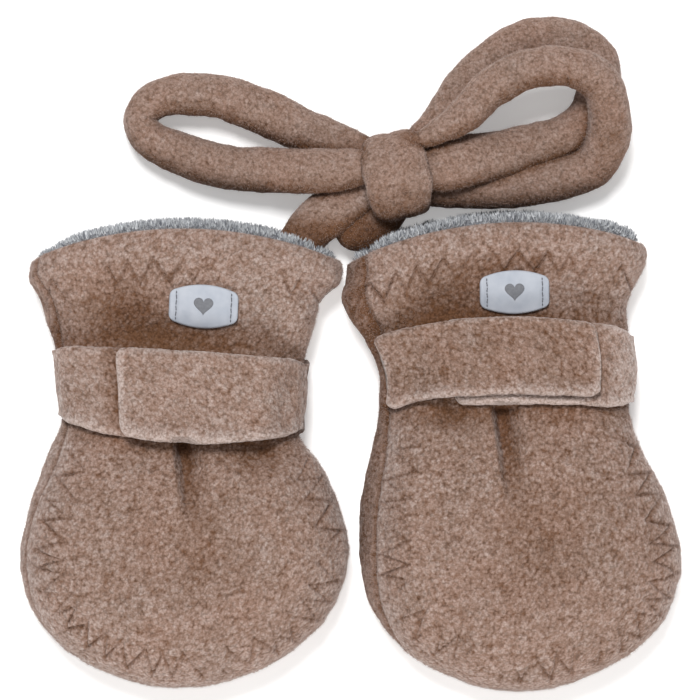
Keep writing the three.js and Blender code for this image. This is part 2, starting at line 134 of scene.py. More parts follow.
def row_of(mitten, s):
    """Every size of the section s, on smooth curves through the table."""
    table = mitten.sections
    last = len(table) - 1
    i = np.clip(np.floor(s), 0, last - 1).astype(int)
    t = (s - i)[:, None]
    p1, p2 = table[i], table[i + 1]
    p0 = np.where((i > 0)[:, None], table[np.maximum(i - 1, 0)], 2 * p1 - p2)
    p3 = np.where((i + 2 <= last)[:, None], table[np.minimum(i + 2, last)], 2 * p2 - p1)
    smooth = p1 + ((p2 - p0) * t + (2 * p0 - 5 * p1 + 4 * p2 - p3) * t**2
                   + (3 * p1 - p0 - 3 * p2 + p3) * t**3) / 2
    straight = table[0] + s[:, None] * (table[1] - table[0])
    found = np.where((s < 0)[:, None], straight, smooth)
    return dict(zip(COLUMNS, found.T))


def plan_point(mitten, u, s):
    """Where the place u across the section s lies, seen from above."""
    row = row_of(mitten, s)
    t = (u + 1) / 2
    x = row["left_x"] + (row["right_x"] - row["left_x"]) * t
    y = row["left_y"] + (row["right_y"] - row["left_y"]) * t + row["bow"] * (1 - u * u)
    return x, y


def from_seam_line(mitten, x, y):
    """Distance from the seam line, the direction away from it, and the place along it."""
    a, b = mitten.line[:-1], mitten.line[1:]
    along = b - a
    length2 = (along**2).sum(1)
    distance = np.empty_like(x)
    away = np.empty((len(x), 2))
    run = np.empty_like(x)
    for k in range(0, len(x), 6000):
        part = slice(k, k + 6000)
        px = x[part, None] - a[:, 0]
        py = y[part, None] - a[:, 1]
        t = np.clip((px * along[:, 0] + py * along[:, 1]) / length2, 0, 1)
        dx, dy = px - t * along[:, 0], py - t * along[:, 1]
        d2 = dx * dx + dy * dy
        best = d2.argmin(1)
        n = np.arange(len(best))
        d = np.sqrt(d2[n, best])
        near = d < 0.1
        length = np.sqrt(length2[best])
        ax = np.where(near, -along[best, 1] / length, dx[n, best] / np.maximum(d, 1e-9))
        ay = np.where(near, along[best, 0] / length, dy[n, best] / np.maximum(d, 1e-9))
        distance[part], away[part, 0], away[part, 1] = d, ax, ay
        run[part] = mitten.run[best] + t[n, best] * length
    return distance, away, run


def ease(x):
    """A smooth step from 0 to 1."""
    x = np.clip(x, 0, 1)
    return x * x * (3 - 2 * x)


def falloff(distance, reach):
    """1 at no distance, fading smoothly to nothing a few reaches away."""
    return np.exp(-((distance / reach) ** 2))


def rounded(distance, radius):
    """Height of a rounded edge, from 0 at the edge to 1 a radius in."""
    return np.sqrt(np.clip(1 - np.clip(1 - distance / radius, 0, 1) ** 2, 0, 1))


def tuck_place(mitten, x, y):
    """How far right of the tuck's edge a place is, and how deep the tuck is there, from 0 to 1."""
    (top_x, top_y), (foot_x, foot_y) = mitten.tuck_top, mitten.tuck_foot
    along = (top_y - y) / (top_y - foot_y)
    across = x - (top_x + (foot_x - top_x) * np.clip(along, 0, 1))
    return across, np.clip(1 - along, 0, 1) * np.clip(1 + along / 0.12, 0, 1)


# Painted shade in the valley beside the tuck's lap.
def tuck_shade(mitten, x, y):
    across, fade = tuck_place(mitten, x, y)
    return falloff(across - 1.3, 2.6) * np.minimum(1, 1.8 * fade)


def tuck_drop(mitten, x, y):
    """The tuck in the front: a lap that drops steeply on its right and fades out at its foot."""
    across, fade = tuck_place(mitten, x, y)
    side = np.where(across < 0, 1 + across / TUCK_STEEP, 1 - across / TUCK_WIDTH)
    return TUCK_DEPTH * ease(side) * np.minimum(1, fade * 1.3)


def dent_drop(mitten, x, y):
    """How deep the hollows pressed into the front are."""
    drop = np.zeros_like(x)
    for cx, cy, rx, ry, turn, depth in mitten.dents:
        c, s = math.cos(math.radians(turn)), math.sin(math.radians(turn))
        dx, dy = x - cx, y - cy
        a, b = (c * dx + s * dy) / rx, (c * dy - s * dx) / ry
        drop += depth * np.exp(-1.4 * (a * a + b * b))
    return drop


def skin(mitten, w, s, depth):
    """Points of the outer surface, moved in by depth. w is the place round the section: -1 to 1
    across the front from left to right, and on past either edge across the back."""
    shape = np.broadcast(w, s, depth).shape
    w, s, depth = (np.broadcast_to(np.asarray(v, float), shape).ravel() for v in (w, s, depth))
    front = np.abs(w) <= 1
    u = np.where(front, w, np.sign(w) * (2 - np.abs(w)))
    row = row_of(mitten, s)
    x, y = plan_point(mitten, u, s)
    distance, away, run = from_seam_line(mitten, x, y)
    edge = (np.abs(u) >= 1) | (s >= TIP)
    distance = np.where(edge, 0, distance)
    inward = 1 - np.minimum(1, distance / np.where(front, row["round"], BACK_ROUND))
    rise = np.sqrt(1 - inward**2)
    level = np.where(front, row["top"] + DOME * (1 - u * u), row["under"])
    level = level - np.where(front, tuck_drop(mitten, x, y) + dent_drop(mitten, x, y), 0)
    z = row["seam"] + (level - row["seam"]) * rise - np.where(front, 1, -1) * rise * depth
    x_in, y_in = away[:, 0] * inward * depth, away[:, 1] * inward * depth
    point = np.stack([mitten.axis + x + x_in, y + y_in, z], 1)
    field = {"distance": distance, "run": run, "x": x, "y": y}
    return point.reshape(shape + (3,)), {k: v.reshape(shape) for k, v in field.items()}


def locate(mitten, x, y):
    """The place across and the section of plan points on the front."""
    low, high = np.full_like(x, -1.0), np.full_like(x, TIP)
    u = np.zeros_like(x)
    for _ in range(36):
        s = (low + high) / 2
        row = row_of(mitten, s)
        u = 2 * (x - row["left_x"]) / (row["right_x"] - row["left_x"]) - 1
        above = plan_point(mitten, u, s)[1] > y
        low, high = np.where(above, s, low), np.where(above, high, s)
    return u, low


# ---- noise ----
def lattice(ix, iy, iz, seed):
    n = (ix * 73856093) ^ (iy * 19349663) ^ (iz * 83492791) ^ (seed * 2654435761)
    n = (n ^ (n >> 15)) * 2246822519 & 0xFFFFFFFF
    n = (n ^ (n >> 13)) * 3266489917 & 0xFFFFFFFF
    return ((n ^ (n >> 16)) & 0xFFFF) / 32767.5 - 1


def drift(points, size, seed):
    """Smooth noise from about -1 to 1 whose lumps are about size across."""
    turned = points @ np.array([[0.36, 0.48, -0.8], [-0.8, 0.6, 0.0], [0.48, 0.64, 0.6]])
    q = turned / size + 1000
    i = np.floor(q).astype(np.int64)
    f = q - i
    t = f * f * f * (f * (f * 6 - 15) + 10)
    total = 0
    for cx in (0, 1):
        for cy in (0, 1):
            for cz in (0, 1):
                corner = (i[..., 0] + cx, i[..., 1] + cy, i[..., 2] + cz)
                g, weight = 0, 1
                for k, c in enumerate((cx, cy, cz)):
                    g = g + lattice(*corner, seed + 7 * k) * (f[..., k] - c)
                    weight = weight * (t[..., k] if c else 1 - t[..., k])
                total = total + g * weight
    return total * 1.5


def tufts(points, size, seed):
    """Rounded tufts of nap about size apart: 1 on a tuft, 0 in the pits between, and a shade
    that belongs to each tuft."""
    q = points / size + 1000
    i = np.floor(q).astype(np.int64)
    best = np.full(points.shape[:-1], 9.0)
    shade = np.zeros(points.shape[:-1])
    for cx in (-1, 0, 1):
        for cy in (-1, 0, 1):
            for cz in (-1, 0, 1):
                cell = (i[..., 0] + cx, i[..., 1] + cy, i[..., 2] + cz)
                d2 = 0
                for k in range(3):
                    centre = cell[k] + 0.5 + 0.42 * lattice(*cell, seed + 11 * k)
                    d2 = d2 + (q[..., k] - centre) ** 2
                nearer = d2 < best
                shade = np.where(nearer, lattice(*cell, seed + 97), shade)
                best = np.where(nearer, d2, best)
    return np.clip(1 - best, 0, 1), shade


def nap(points, seed):
    """Height of the fleece's nap over its mean, in mm, and how open it is, from 0 to 1."""
    warped = points + 0.45 * np.stack([drift(points, 1.6, seed + k) for k in (1, 2, 3)], -1)
    tuft, shade = tufts(warped, 1.25, seed)
    fine = drift(points, 0.75, seed + 5)
    lump = drift(points, 3.4, seed + 9)
    height = 0.29 * (tuft - 0.6) + 0.11 * fine + 0.16 * lump
    # Paler on the tufts and darker in the pits between: partly the nap's own tone, partly painted shade.
    nap_and_painted_light = np.clip(0.52 + 0.56 * (tuft - 0.62) + 0.19 * fine + 0.1 * lump + 0.12 * shade, 0, 1)
    return height, nap_and_painted_light


def soft_floor(value, knee=0.22):
    """Keeps a nap value between 0 and 1, easing it towards 0."""
    low = knee * np.exp(np.minimum(0, value - knee) / knee)
    return np.clip(np.where(value < knee, low, value), 0, 1)


# ---- meshes ----
def plain_object(name, data):
    """A mesh, lamp or camera, linked into the scene at the origin."""
    made = bpy.data.objects.new(name, data)
    bpy.context.scene.collection.objects.link(made)
    return made


def mesh_object(name, points, quads, triangles, material, attributes=None):
    """A smooth mesh from points in mm, its faces turned outwards, with a value for each point."""
    mesh = bpy.data.meshes.new(name)
    quads, triangles = np.asarray(quads, int).reshape(-1, 4), np.asarray(triangles, int).reshape(-1, 3)
    flat = points.reshape(-1, 3)
    volume = 0.0
    for corners in (quads[:, [0, 1, 2]], quads[:, [0, 2, 3]], triangles):
        first, second, third = (flat[corners[:, k]] for k in range(3))
        volume += np.einsum("ij,ij->i", first, np.cross(second, third)).sum()
    if volume < 0:
        quads, triangles = quads[:, ::-1], triangles[:, ::-1]
    loops = np.concatenate([quads.ravel(), triangles.ravel()])
    sizes = np.concatenate([np.full(len(quads), 4), np.full(len(triangles), 3)])
    starts = np.concatenate([[0], np.cumsum(sizes)[:-1]])
    mesh.vertices.add(len(flat))
    mesh.vertices.foreach_set("co", (flat * MM).astype(np.float32).ravel())
    mesh.loops.add(len(loops))
    mesh.loops.foreach_set("vertex_index", loops.astype(np.int32))
    mesh.polygons.add(len(sizes))
    mesh.polygons.foreach_set("loop_start", starts.astype(np.int32))
    mesh.polygons.foreach_set("use_smooth", np.ones(len(sizes), bool))
    mesh.update(calc_edges=True)
    mesh.validate()
    for key, values in (attributes or {}).items():
        attribute = mesh.attributes.new(key, "FLOAT", "POINT")
        attribute.data.foreach_set("value", values.astype(np.float32).ravel())
    mesh.materials.append(material)
    return plain_object(name, mesh)


def cloth_shell(outer, inner):
    """A closed wall from a fine outer grid and an inner grid with a quarter of its divisions."""
    def quads_of(rows, columns, start):
        at = start + np.arange(rows * columns).reshape(rows, columns)
        return np.stack([at[:-1, :-1], at[:-1, 1:], at[1:, 1:], at[1:, :-1]], -1).reshape(-1, 4), at

    def rim_of(at):
        return np.concatenate([at[0, :-1], at[:-1, -1], at[-1, :0:-1], at[:0:-1, 0]])

    face, at = quads_of(*outer.shape[:2], 0)
    back, at_back = quads_of(*inner.shape[:2], outer.shape[0] * outer.shape[1])
    fine, coarse = rim_of(at), rim_of(at_back)
    f = np.append(fine, fine[0])
    c0, c1 = coarse, np.roll(coarse, -1)
    k = 4 * np.arange(len(coarse))
    f0, f1, f2, f3, f4 = (f[k + n] for n in range(5))
    rim = np.concatenate([np.stack(t, 1) for t in (
        (f1, f0, c0), (f2, f1, c0), (f2, c0, c1), (f3, f2, c1), (f4, f3, c1))])
    points = np.concatenate([outer.reshape(-1, 3), inner.reshape(-1, 3)])
    return points, np.concatenate([face, back[:, ::-1]]), rim


def outward(points, inside):
    """Unit normals of a grid of points, on the side away from inside."""
    along = np.gradient(points, axis=0)
    across = np.gradient(points, axis=1)
    n = np.cross(along, across)
    n /= np.maximum(np.linalg.norm(n, axis=-1, keepdims=True), 1e-9)
    side = np.sign(((points - inside) * n).sum(-1, keepdims=True).mean())
    return n * side


def tube_normals(points, centre):
    """Outward normals of rings of points, each closed round its centre."""
    ring = np.concatenate([points[:, -1:], points, points[:, :1]], axis=1)
    return outward(ring, np.repeat(centre, ring.shape[1], axis=1))[:, 1:-1]


def even_places(mitten, rows, low, high, count, dense=220):
    """For each section, count + 1 places evenly spaced over the surface between low and high."""
    t = np.linspace(0, 1, dense)
    w = low[:, None] + (high - low)[:, None] * t
    points, _ = skin(mitten, w, rows[:, None], 0.0)
    steps = np.linalg.norm(np.diff(points, axis=1), axis=-1)
    length = np.concatenate([np.zeros((len(rows), 1)), np.cumsum(steps, axis=1)], axis=1)
    places = np.empty((len(rows), count + 1))
    for j in range(len(rows)):
        places[j] = np.interp(np.linspace(0, length[j, -1], count + 1), length[j], w[j])
    return places


def even_rows(mitten, low, high, count):
    s = np.linspace(low, high, 500)
    points, _ = skin(mitten, np.zeros_like(s), s, 0.0)
    length = length_along(points)
    return np.interp(np.linspace(0, length[-1], count + 1), length, s)


def length_along(points):
    """The length of a line of points up to each of them."""
    return np.concatenate([[0], np.cumsum(np.linalg.norm(np.diff(points, axis=0), axis=1))])


def surface_lengths(points):
    """For each grid point, its distance over the surface from each of the four sides."""
    across = np.linalg.norm(np.diff(points, axis=1), axis=-1)
    from_left = np.concatenate([np.zeros((len(points), 1)), np.cumsum(across, axis=1)], axis=1)
    along = np.linalg.norm(np.diff(points, axis=0), axis=-1)
    from_top = np.concatenate([np.zeros((1, points.shape[1])), np.cumsum(along, axis=0)], axis=0)
    return from_left, from_left[:, -1:] - from_left, from_top, from_top[-1:] - from_top


def left_seam(mitten, s, offset=0.0):
    row = row_of(mitten, s)
    return -1 + 2 * (np.maximum(0, row["tuck"]) + offset) / (row["right_x"] - row["left_x"])


# ---- zigzag stitching ----
HAND_ZIGZAG = {  # along the seam line from the strap on the left round to the strap on the right
    "share": [0.0, 0.25, 0.42, 0.6, 0.78, 1.0],
    "near": [5.4, 6.2, 4.6, 3.2, 1.6, 1.0],
    "far": [13.5, 14.5, 12.5, 10.4, 9.0, 7.6],
}
ZIGZAG_PITCH = 8.0
HEM_ZIGZAG = (9.0, 16.0, 7.5)  # nearest and furthest from the hem, and the pitch
STITCH_PITCH, STITCH_LENGTH, THREAD = 1.5, 1.45, 0.25
GROOVE_REACH, PUCKER_REACH = 0.48, 2.2


def hand_share(mitten, run):
    """The place along the seam line as a share of the way round the hand below the strap."""
    s = np.linspace(HEM_LIMIT, TIP, SEAM_POINTS)
    left = np.interp(STRAP_FOOT + 0.2, s, mitten.run[:SEAM_POINTS])
    right = np.interp(STRAP_FOOT + 0.2, s, mitten.run[-SEAM_POINTS:][::-1])
    return (run - left) / (right - left), left, right


def zigzag_reach(mitten, run):
    """How far in from the seam line the zigzag lies at each place along it."""
    share, _, _ = hand_share(mitten, run)
    near = np.interp(share, HAND_ZIGZAG["share"], HAND_ZIGZAG["near"])
    far = np.interp(share, HAND_ZIGZAG["share"], HAND_ZIGZAG["far"])
    wander = 0.9 * np.sin(run * 0.31 + mitten.axis) + 0.6 * np.sin(run * 0.083)
    phase = (run + wander) / ZIGZAG_PITCH
    swing = 2 * np.abs(phase - np.floor(phase + 0.5))
    return near + (far - near) * swing, (far - near) * 2 / ZIGZAG_PITCH, share


def hand_groove(mitten, distance, run):
    """The groove of the zigzag round the hand, and the pucker beside it."""
    reach, slope, share = zigzag_reach(mitten, run)
    off = (distance - reach) / np.sqrt(1 + slope**2)
    inside = ease(share / 0.03) * ease((1 - share) / 0.03)
    return falloff(off, GROOVE_REACH) * inside, falloff(off, PUCKER_REACH) * inside


def hem_reach(x, seed):
    """How far from the hem its zigzag lies."""
    near, far, pitch = HEM_ZIGZAG
    phase = (x + 0.8 * np.sin(x * 0.27 + seed)) / pitch
    return near + (far - near) * 2 * np.abs(phase - np.floor(phase + 0.5))


def hem_groove(x, from_hem, seed):
    near, far, pitch = HEM_ZIGZAG
    off = (from_hem - hem_reach(x, seed)) / math.sqrt(1 + (2 * (far - near) / pitch) ** 2)
    return falloff(off, GROOVE_REACH), falloff(off, PUCKER_REACH)


# ---- looks ----
# Scales of the patterns, per metre, and how far the curl bends the tufts, in metres.
CURL_SCALE, CURL_REACH, TUFT_SCALE = 1100, 0.0013, 1300
SPECKLE_SCALE, BLOTCH_SCALE = 2600, 75
WEAVE_SCALE, THREAD_SCALE = 900, 1400


def add_node(tree, kind, sockets=None, **settings):
    """A node with its settings, then its inputs: another node's output is linked, a value is set."""
    node = tree.nodes.new(kind)
    for key, value in settings.items():
        setattr(node, key, value)
    for key, value in (sockets or {}).items():
        if isinstance(value, bpy.types.NodeSocket):
            tree.links.new(value, node.inputs[key])
        else:
            node.inputs[key].default_value = value
    return node


def times(tree, first, second):
    return add_node(tree, "ShaderNodeMath", {0: first, 1: second}, operation="MULTIPLY").outputs[0]


def vector_sum(tree, first, second):
    return add_node(tree, "ShaderNodeVectorMath", {0: first, 1: second}).outputs[0]


def vector_times(tree, vector, scale):
    sockets = {0: vector, "Scale": scale}
    return add_node(tree, "ShaderNodeVectorMath", sockets, operation="SCALE").outputs[0]


def shader(name, roughness, sheen=0.0, sheen_roughness=0.5, sheen_tint=(1, 1, 1, 1), specular=0.3):
    """A new material, its tree and its surface."""
    material = bpy.data.materials.new(name)
    material.use_nodes = True
    tree = material.node_tree
    surface = tree.nodes["Principled BSDF"]
    for key, value in {"Roughness": roughness, "Sheen Weight": sheen, "Sheen Roughness": sheen_roughness,
                       "Sheen Tint": sheen_tint, "Specular IOR Level": specular}.items():
        surface.inputs[key].default_value = value
    return material, tree, surface


def object_place(tree):
    return add_node(tree, "ShaderNodeTexCoord").outputs["Object"]


def noise_node(tree, place, scale, detail, roughness=0.5):
    sockets = {"Scale": scale, "Detail": detail, "Roughness": roughness, "Vector": place}
    return add_node(tree, "ShaderNodeTexNoise", sockets).outputs["Fac"]


def ramp_node(tree, value, stops):
    ramp = add_node(tree, "ShaderNodeValToRGB", {"Fac": value})
    elements = ramp.color_ramp.elements
    elements[0].position, elements[0].color = stops[0]
    elements[1].position, elements[1].color = stops[-1]
    for place, color in stops[1:-1]:
        elements.new(place).color = color
    return ramp.outputs["Color"]


def multiply_color(tree, first, second):
    sockets = {"Factor": 1.0, "A": first, "B": second}
    mix = add_node(tree, "ShaderNodeMix", sockets, data_type="RGBA", blend_type="MULTIPLY")
    return mix.outputs["Result"]


def paint(tree, surface, color):
    tree.links.new(color, surface.inputs["Base Color"])


def add_relief(tree, surface, height, strength, distance, **settings):
    """Fine relief on a surface, distance in metres."""
    sockets = {"Strength": strength, "Distance": distance, "Height": height}
    bump = add_node(tree, "ShaderNodeBump", sockets, **settings)
    tree.links.new(bump.outputs["Normal"], surface.inputs["Normal"])


def grey(v, warm=0.0):
    return (v * (1 + warm), v, v * (1 - warm), 1)


def fleece_material(name, pit, middle, tip):
    """Sheared nap: small curled tufts with dark pits between, partly its own tone and partly painted
    shade, paler where it stands open; painted shade and highlight come in through its attribute.
    """
    material, tree, surface = shader(name, 0.95, 0.28, 0.5, (1.0, 0.93, 0.9, 1), 0.12)
    place = object_place(tree)
    nap_and_painted_light = add_node(tree, "ShaderNodeAttribute", attribute_name="nap").outputs["Fac"]
    color = ramp_node(tree, nap_and_painted_light, [(0.05, pit), (0.5, middle), (0.95, tip)])
    curl = add_node(tree, "ShaderNodeTexNoise", {"Scale": CURL_SCALE, "Detail": 2, "Vector": place})
    bent = vector_sum(tree, place, vector_times(tree, curl.outputs["Color"], CURL_REACH))
    tuft = add_node(tree, "ShaderNodeTexVoronoi", {"Scale": TUFT_SCALE, "Vector": bent})
    depth = tuft.outputs["Distance"]
    # Darker and warmer in the pits between tufts: the nap's tone and painted shade.
    color = multiply_color(tree, color, ramp_node(tree, depth, [
        (0.12, grey(1.18, -0.02)), (0.42, grey(1.02)),
        (0.62, grey(0.83, 0.03)), (0.85, grey(0.56, 0.06))]))
    speckle = noise_node(tree, place, SPECKLE_SCALE, 2, 0.6)
    color = multiply_color(tree, color, ramp_node(tree, speckle, [
        (0.3, grey(0.83, 0.02)), (0.5, grey(1.0)), (0.7, grey(1.17, -0.02))]))
    blotch = noise_node(tree, place, BLOTCH_SCALE, 3)
    color = multiply_color(tree, color, ramp_node(tree, blotch, [
        (0.3, (0.98, 1.0, 1.01, 1)), (0.7, (1.03, 0.99, 0.97, 1))]))
    paint(tree, surface, color)
    veil = add_node(tree, "ShaderNodeMapRange", {
        "From Min": 0.1, "From Max": 0.85, "To Min": 0.04, "To Max": 0.46, "Value": nap_and_painted_light})
    tree.links.new(veil.outputs["Result"], surface.inputs["Sheen Weight"])
    add_relief(tree, surface, depth, 0.6, 0.0004, invert=True)
    return material


def plush_material(name, root, tip):
    """Pile whose fibres each have a shade of their own."""
    material, tree, surface = shader(name, 0.85, 0.3, 0.4, (0.9, 0.95, 1.0, 1), 0.25)
    shade = add_node(tree, "ShaderNodeAttribute", attribute_name="shade").outputs["Fac"]
    paint(tree, surface, ramp_node(tree, shade, [(0.0, root), (1.0, tip)]))
    return material


def tape_material(name, dark, light):
    """Smooth woven tape."""
    material, tree, surface = shader(name, 0.62, specular=0.4)
    place = object_place(tree)
    color = ramp_node(tree, noise_node(tree, place, 240, 2), [(0.3, dark), (0.7, light)])
    paint(tree, surface, color)
    weave = add_node(tree, "ShaderNodeTexWave", {
        "Scale": WEAVE_SCALE, "Distortion": 1.5, "Vector": place})
    add_relief(tree, surface, weave.outputs["Fac"], 0.25, 0.0001)
    return material


def thread_material(name, dark, light):
    material, tree, surface = shader(name, 0.7, 0.1)
    twist = noise_node(tree, object_place(tree), THREAD_SCALE, 2)
    color = ramp_node(tree, twist, [(0.3, dark), (0.7, light)])
    paint(tree, surface, color)
    return material


# Nap colours in its pits, middle and tips; painted shade takes the nap towards the pit colour.
FLEECE_COLORS = ((0.122, 0.058, 0.03, 1), (0.258, 0.173, 0.138, 1), (0.405, 0.325, 0.295, 1))

fleece_look = fleece_material("brown_fleece", *FLEECE_COLORS)
plush_look = plush_material("grey_plush_pile", (0.17, 0.18, 0.205, 1), (0.72, 0.74, 0.76, 1))
fuzz_look = plush_material("brown_fleece_fuzz", (0.24, 0.155, 0.12, 1), (0.44, 0.34, 0.3, 1))
plush_base = thread_material("grey_plush_ground", (0.10, 0.105, 0.12, 1), (0.2, 0.205, 0.22, 1))
tape_look = tape_material("pale_label_tape", (0.345, 0.375, 0.43, 1), (0.415, 0.44, 0.49, 1))
seam_thread = thread_material("brown_seam_thread", (0.12, 0.07, 0.048, 1), (0.2, 0.13, 0.1, 1))
label_thread = thread_material("grey_label_thread", (0.075, 0.08, 0.095, 1), (0.15, 0.155, 0.175, 1))
motif_look = thread_material("grey_motif_print", (0.13, 0.135, 0.15, 1), (0.17, 0.175, 0.19, 1))


# ---- Geometry Nodes for what repeats ----
def tree_of(name, inputs):
    """A tree with these inputs, and what its group gives."""
    tree = bpy.data.node_groups.new(name, "GeometryNodeTree")
    tree.interface.new_socket("Geometry", in_out="INPUT", socket_type="NodeSocketGeometry")
    for label, kind, value in inputs:
        socket = tree.interface.new_socket(label, in_out="INPUT", socket_type="NodeSocket" + kind)
        if value is not None:
            socket.default_value = value
    tree.interface.new_socket("Geometry", in_out="OUTPUT", socket_type="NodeSocketGeometry")
    return tree, tree.nodes.new("NodeGroupInput").outputs


def placed_on(tree, given, points, shape, aim, length):
    """A shape on every point, as thick as given, turned to its aim."""
    turn = add_node(tree, "FunctionNodeAlignRotationToVector", {"Vector": aim}, axis="Z")
    thickness = given["Thickness"]
    size = add_node(tree, "ShaderNodeCombineXYZ", {0: thickness, 1: thickness, 2: length})
    placed = add_node(tree, "GeometryNodeInstanceOnPoints", {
        "Points": points, "Instance": shape, "Rotation": turn.outputs["Rotation"],
        "Scale": size.outputs[0]})
    return placed.outputs["Instances"]


def finish_tree(tree, given, instances):
    real = add_node(tree, "GeometryNodeRealizeInstances", {"Geometry": instances}).outputs["Geometry"]
    paint = add_node(tree, "GeometryNodeSetMaterial", {"Geometry": real, "Material": given["Material"]})
    add_node(tree, "NodeGroupOutput", {"Geometry": paint.outputs["Geometry"]})
    return tree


def pile_tree():
    """Fibres standing on a surface where its attribute "standing" says, each a thin spike."""
    tree, given = tree_of("standing_pile", [
        ("Density", "Float", 1e6), ("Length", "Float", 0.003), ("Thickness", "Float", 0.0001),
        ("Lean", "Vector", None), ("Spread", "Float", 0.5), ("Seed", "Int", 1),
        ("Material", "Material", None)])
    standing = add_node(tree, "GeometryNodeInputNamedAttribute", {"Name": "standing"},
                        data_type="FLOAT")
    density = times(tree, standing.outputs["Attribute"], given["Density"])
    scatter = add_node(tree, "GeometryNodeDistributePointsOnFaces", {
        "Mesh": given["Geometry"], "Density": density, "Seed": given["Seed"]})
    stray = add_node(tree, "FunctionNodeRandomValue", {
        "Min": (-1, -1, -1), "Max": (1, 1, 1), "Seed": given["Seed"]}, data_type="FLOAT_VECTOR")
    scaled = vector_times(tree, stray.outputs["Value"], given["Spread"])
    leaned = vector_sum(tree, scatter.outputs["Normal"], given["Lean"])
    aimed = vector_sum(tree, leaned, scaled)
    tall = add_node(tree, "FunctionNodeRandomValue", {2: 0.55, 3: 1.15, "Seed": given["Seed"]},
                    data_type="FLOAT")
    length = times(tree, tall.outputs[1], given["Length"])
    fibre = add_node(tree, "GeometryNodeMeshCone", {
        "Vertices": 3, "Radius Top": 0.0, "Radius Bottom": 0.5, "Depth": 1.0})
    placed = placed_on(tree, given, scatter.outputs["Points"], fibre.outputs["Mesh"], aimed, length)
    own = add_node(tree, "FunctionNodeRandomValue", {"Seed": 5}, data_type="FLOAT")
    shaded = add_node(tree, "GeometryNodeStoreNamedAttribute", {
        "Name": "shade", "Geometry": placed, "Value": own.outputs[1]},
                      data_type="FLOAT", domain="INSTANCE")
    return finish_tree(tree, given, shaded.outputs["Geometry"])


def stitch_tree():
    """Stitches laid end to end along the edges of a mesh line."""
    tree, given = tree_of("laid_stitches", [
        ("Pitch", "Float", 0.002), ("Stitch Length", "Float", 0.0016), ("Thickness", "Float", 0.0003),
        ("Material", "Material", None)])
    line = add_node(tree, "GeometryNodeMeshToCurve", {"Mesh": given["Geometry"]})
    spaced = add_node(tree, "GeometryNodeResampleCurve", {
        "Curve": line.outputs["Curve"], "Length": given["Pitch"]}, mode="LENGTH")
    tangent = add_node(tree, "GeometryNodeInputTangent")
    stitch = add_node(tree, "GeometryNodeMeshUVSphere", {"Segments": 7, "Rings": 5, "Radius": 0.5})
    placed = placed_on(tree, given, spaced.outputs["Curve"], stitch.outputs["Mesh"],
                       tangent.outputs[0], given["Stitch Length"])
    return finish_tree(tree, given, placed)


def grown(carrier, tree, name, **values):
    """What the tree makes on the carrier, as a plain mesh object of its own."""
    modifier = carrier.modifiers.new(tree.name, "NODES")
    modifier.node_group = tree
    for item in tree.interface.items_tree:
        key = item.name.lower().replace(" ", "_")
        if item.in_out == "INPUT" and key in values:
            modifier[item.identifier] = values[key]
    carrier.update_tag()
    bpy.context.view_layer.update()
    shaped = carrier.evaluated_get(bpy.context.evaluated_depsgraph_get())
    mesh = bpy.data.meshes.new_from_object(shaped)
    mesh.name = name
    carrier.modifiers.remove(modifier)
    return plain_object(name, mesh)


def fuzz_on(piece, name, material, seed, density, length, thickness, lean=(0.0, 0.0, 0.0)):
    """The fibres that stand on a piece; its attribute for them then goes."""
    made = grown(piece, PILE, name, density=density, length=length, thickness=thickness, lean=lean,
                 spread=0.9, seed=seed, material=material)
    piece.data.attributes.remove(piece.data.attributes["standing"])
    return made


PILE = pile_tree()
STITCHES = stitch_tree()


def line_object(name, lines):
    """A mesh of open lines, each a list of points in mm."""
    points = np.concatenate(lines) * MM
    edges, start = [], 0
    for line in lines:
        edges += [(start + k, start + k + 1) for k in range(len(line) - 1)]
        start += len(line)
    mesh = bpy.data.meshes.new(name)
    mesh.from_pydata(points.tolist(), edges, [])
    return plain_object(name, mesh)


def stitched(name, lines, pitch, length, thickness, material):
    carrier = line_object(name + "_line", lines)
    made = grown(carrier, STITCHES, name, pitch=pitch * MM, stitch_length=length * MM,
                 thickness=thickness * MM, material=material)
    bpy.data.objects.remove(carrier)
    return made


def settle(piece, slot, *nodes):
    """Every piece rides on the one body and may stand for CAD nodes, which it hides; the slot is not
    used.
    """
    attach(piece, "root")
    if nodes:
        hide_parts(*nodes)
    return piece


# ---- camera ----
CAMERA_Y, CAMERA_HEIGHT, FOCAL_LENGTH = 0.0309, 1.012, 171.43


def place_camera():
    """Straight down over the pair, 700 by 700, taking in 210 mm of the table."""
    lens = bpy.data.cameras.new("overhead_camera")
    lens.type = "PERSP"
    lens.sensor_width = 36
    lens.lens = FOCAL_LENGTH
    lens.clip_end = 20
    camera = plain_object("overhead_camera", lens)
    camera.location = (0, CAMERA_Y, CAMERA_HEIGHT)
    bpy.context.scene.camera = camera


place_camera()

# ---- the cord ----
# Centre line from inside the left cuff to inside the right cuff: x, y, height of the centre,
# and the width and thickness of the section, which is squeezed where strands are bound.
CORD_IN = [  # out of the left cuff, through the knot, round the low right loop and back
    [-21, 56, 11.5, 10, 8.6], [-15, 63.6, 11, 12.4, 9.6], [-8.6, 70.5, 10, 14.4, 12],
    [2.4, 77.2, 8.5, 13, 11.4], [9, 79.4, 8.2, 8, 8], [18, 79.4, 8.2, 8, 8],
    [25.6, 79.8, 6.9, 11.6, 11.6], [38, 80.2, 6.75, 13.2, 12.6], [49, 80.4, 6.75, 13.2, 12.6],
    [62, 82.4, 6.75, 13.2, 12.6], [73, 86.7, 8, 13.2, 12.6], [77, 94, 11.6, 13.2, 12.6],
    [77.2, 103, 16.4, 12.6, 12.4], [74.7, 110.2, 19, 12.2, 12.2], [67.5, 114.8, 19.6, 11.8, 12],
    [59, 115.3, 19.6, 11.6, 12], [50.5, 113.6, 19.6, 11.6, 12], [42.1, 108.9, 19.6, 11.6, 12],
    [34, 100.9, 19.8, 10.4, 11], [26, 95.9, 19.5, 7.4, 9], [20.5, 93.0, 18.2, 5.4, 7],
]
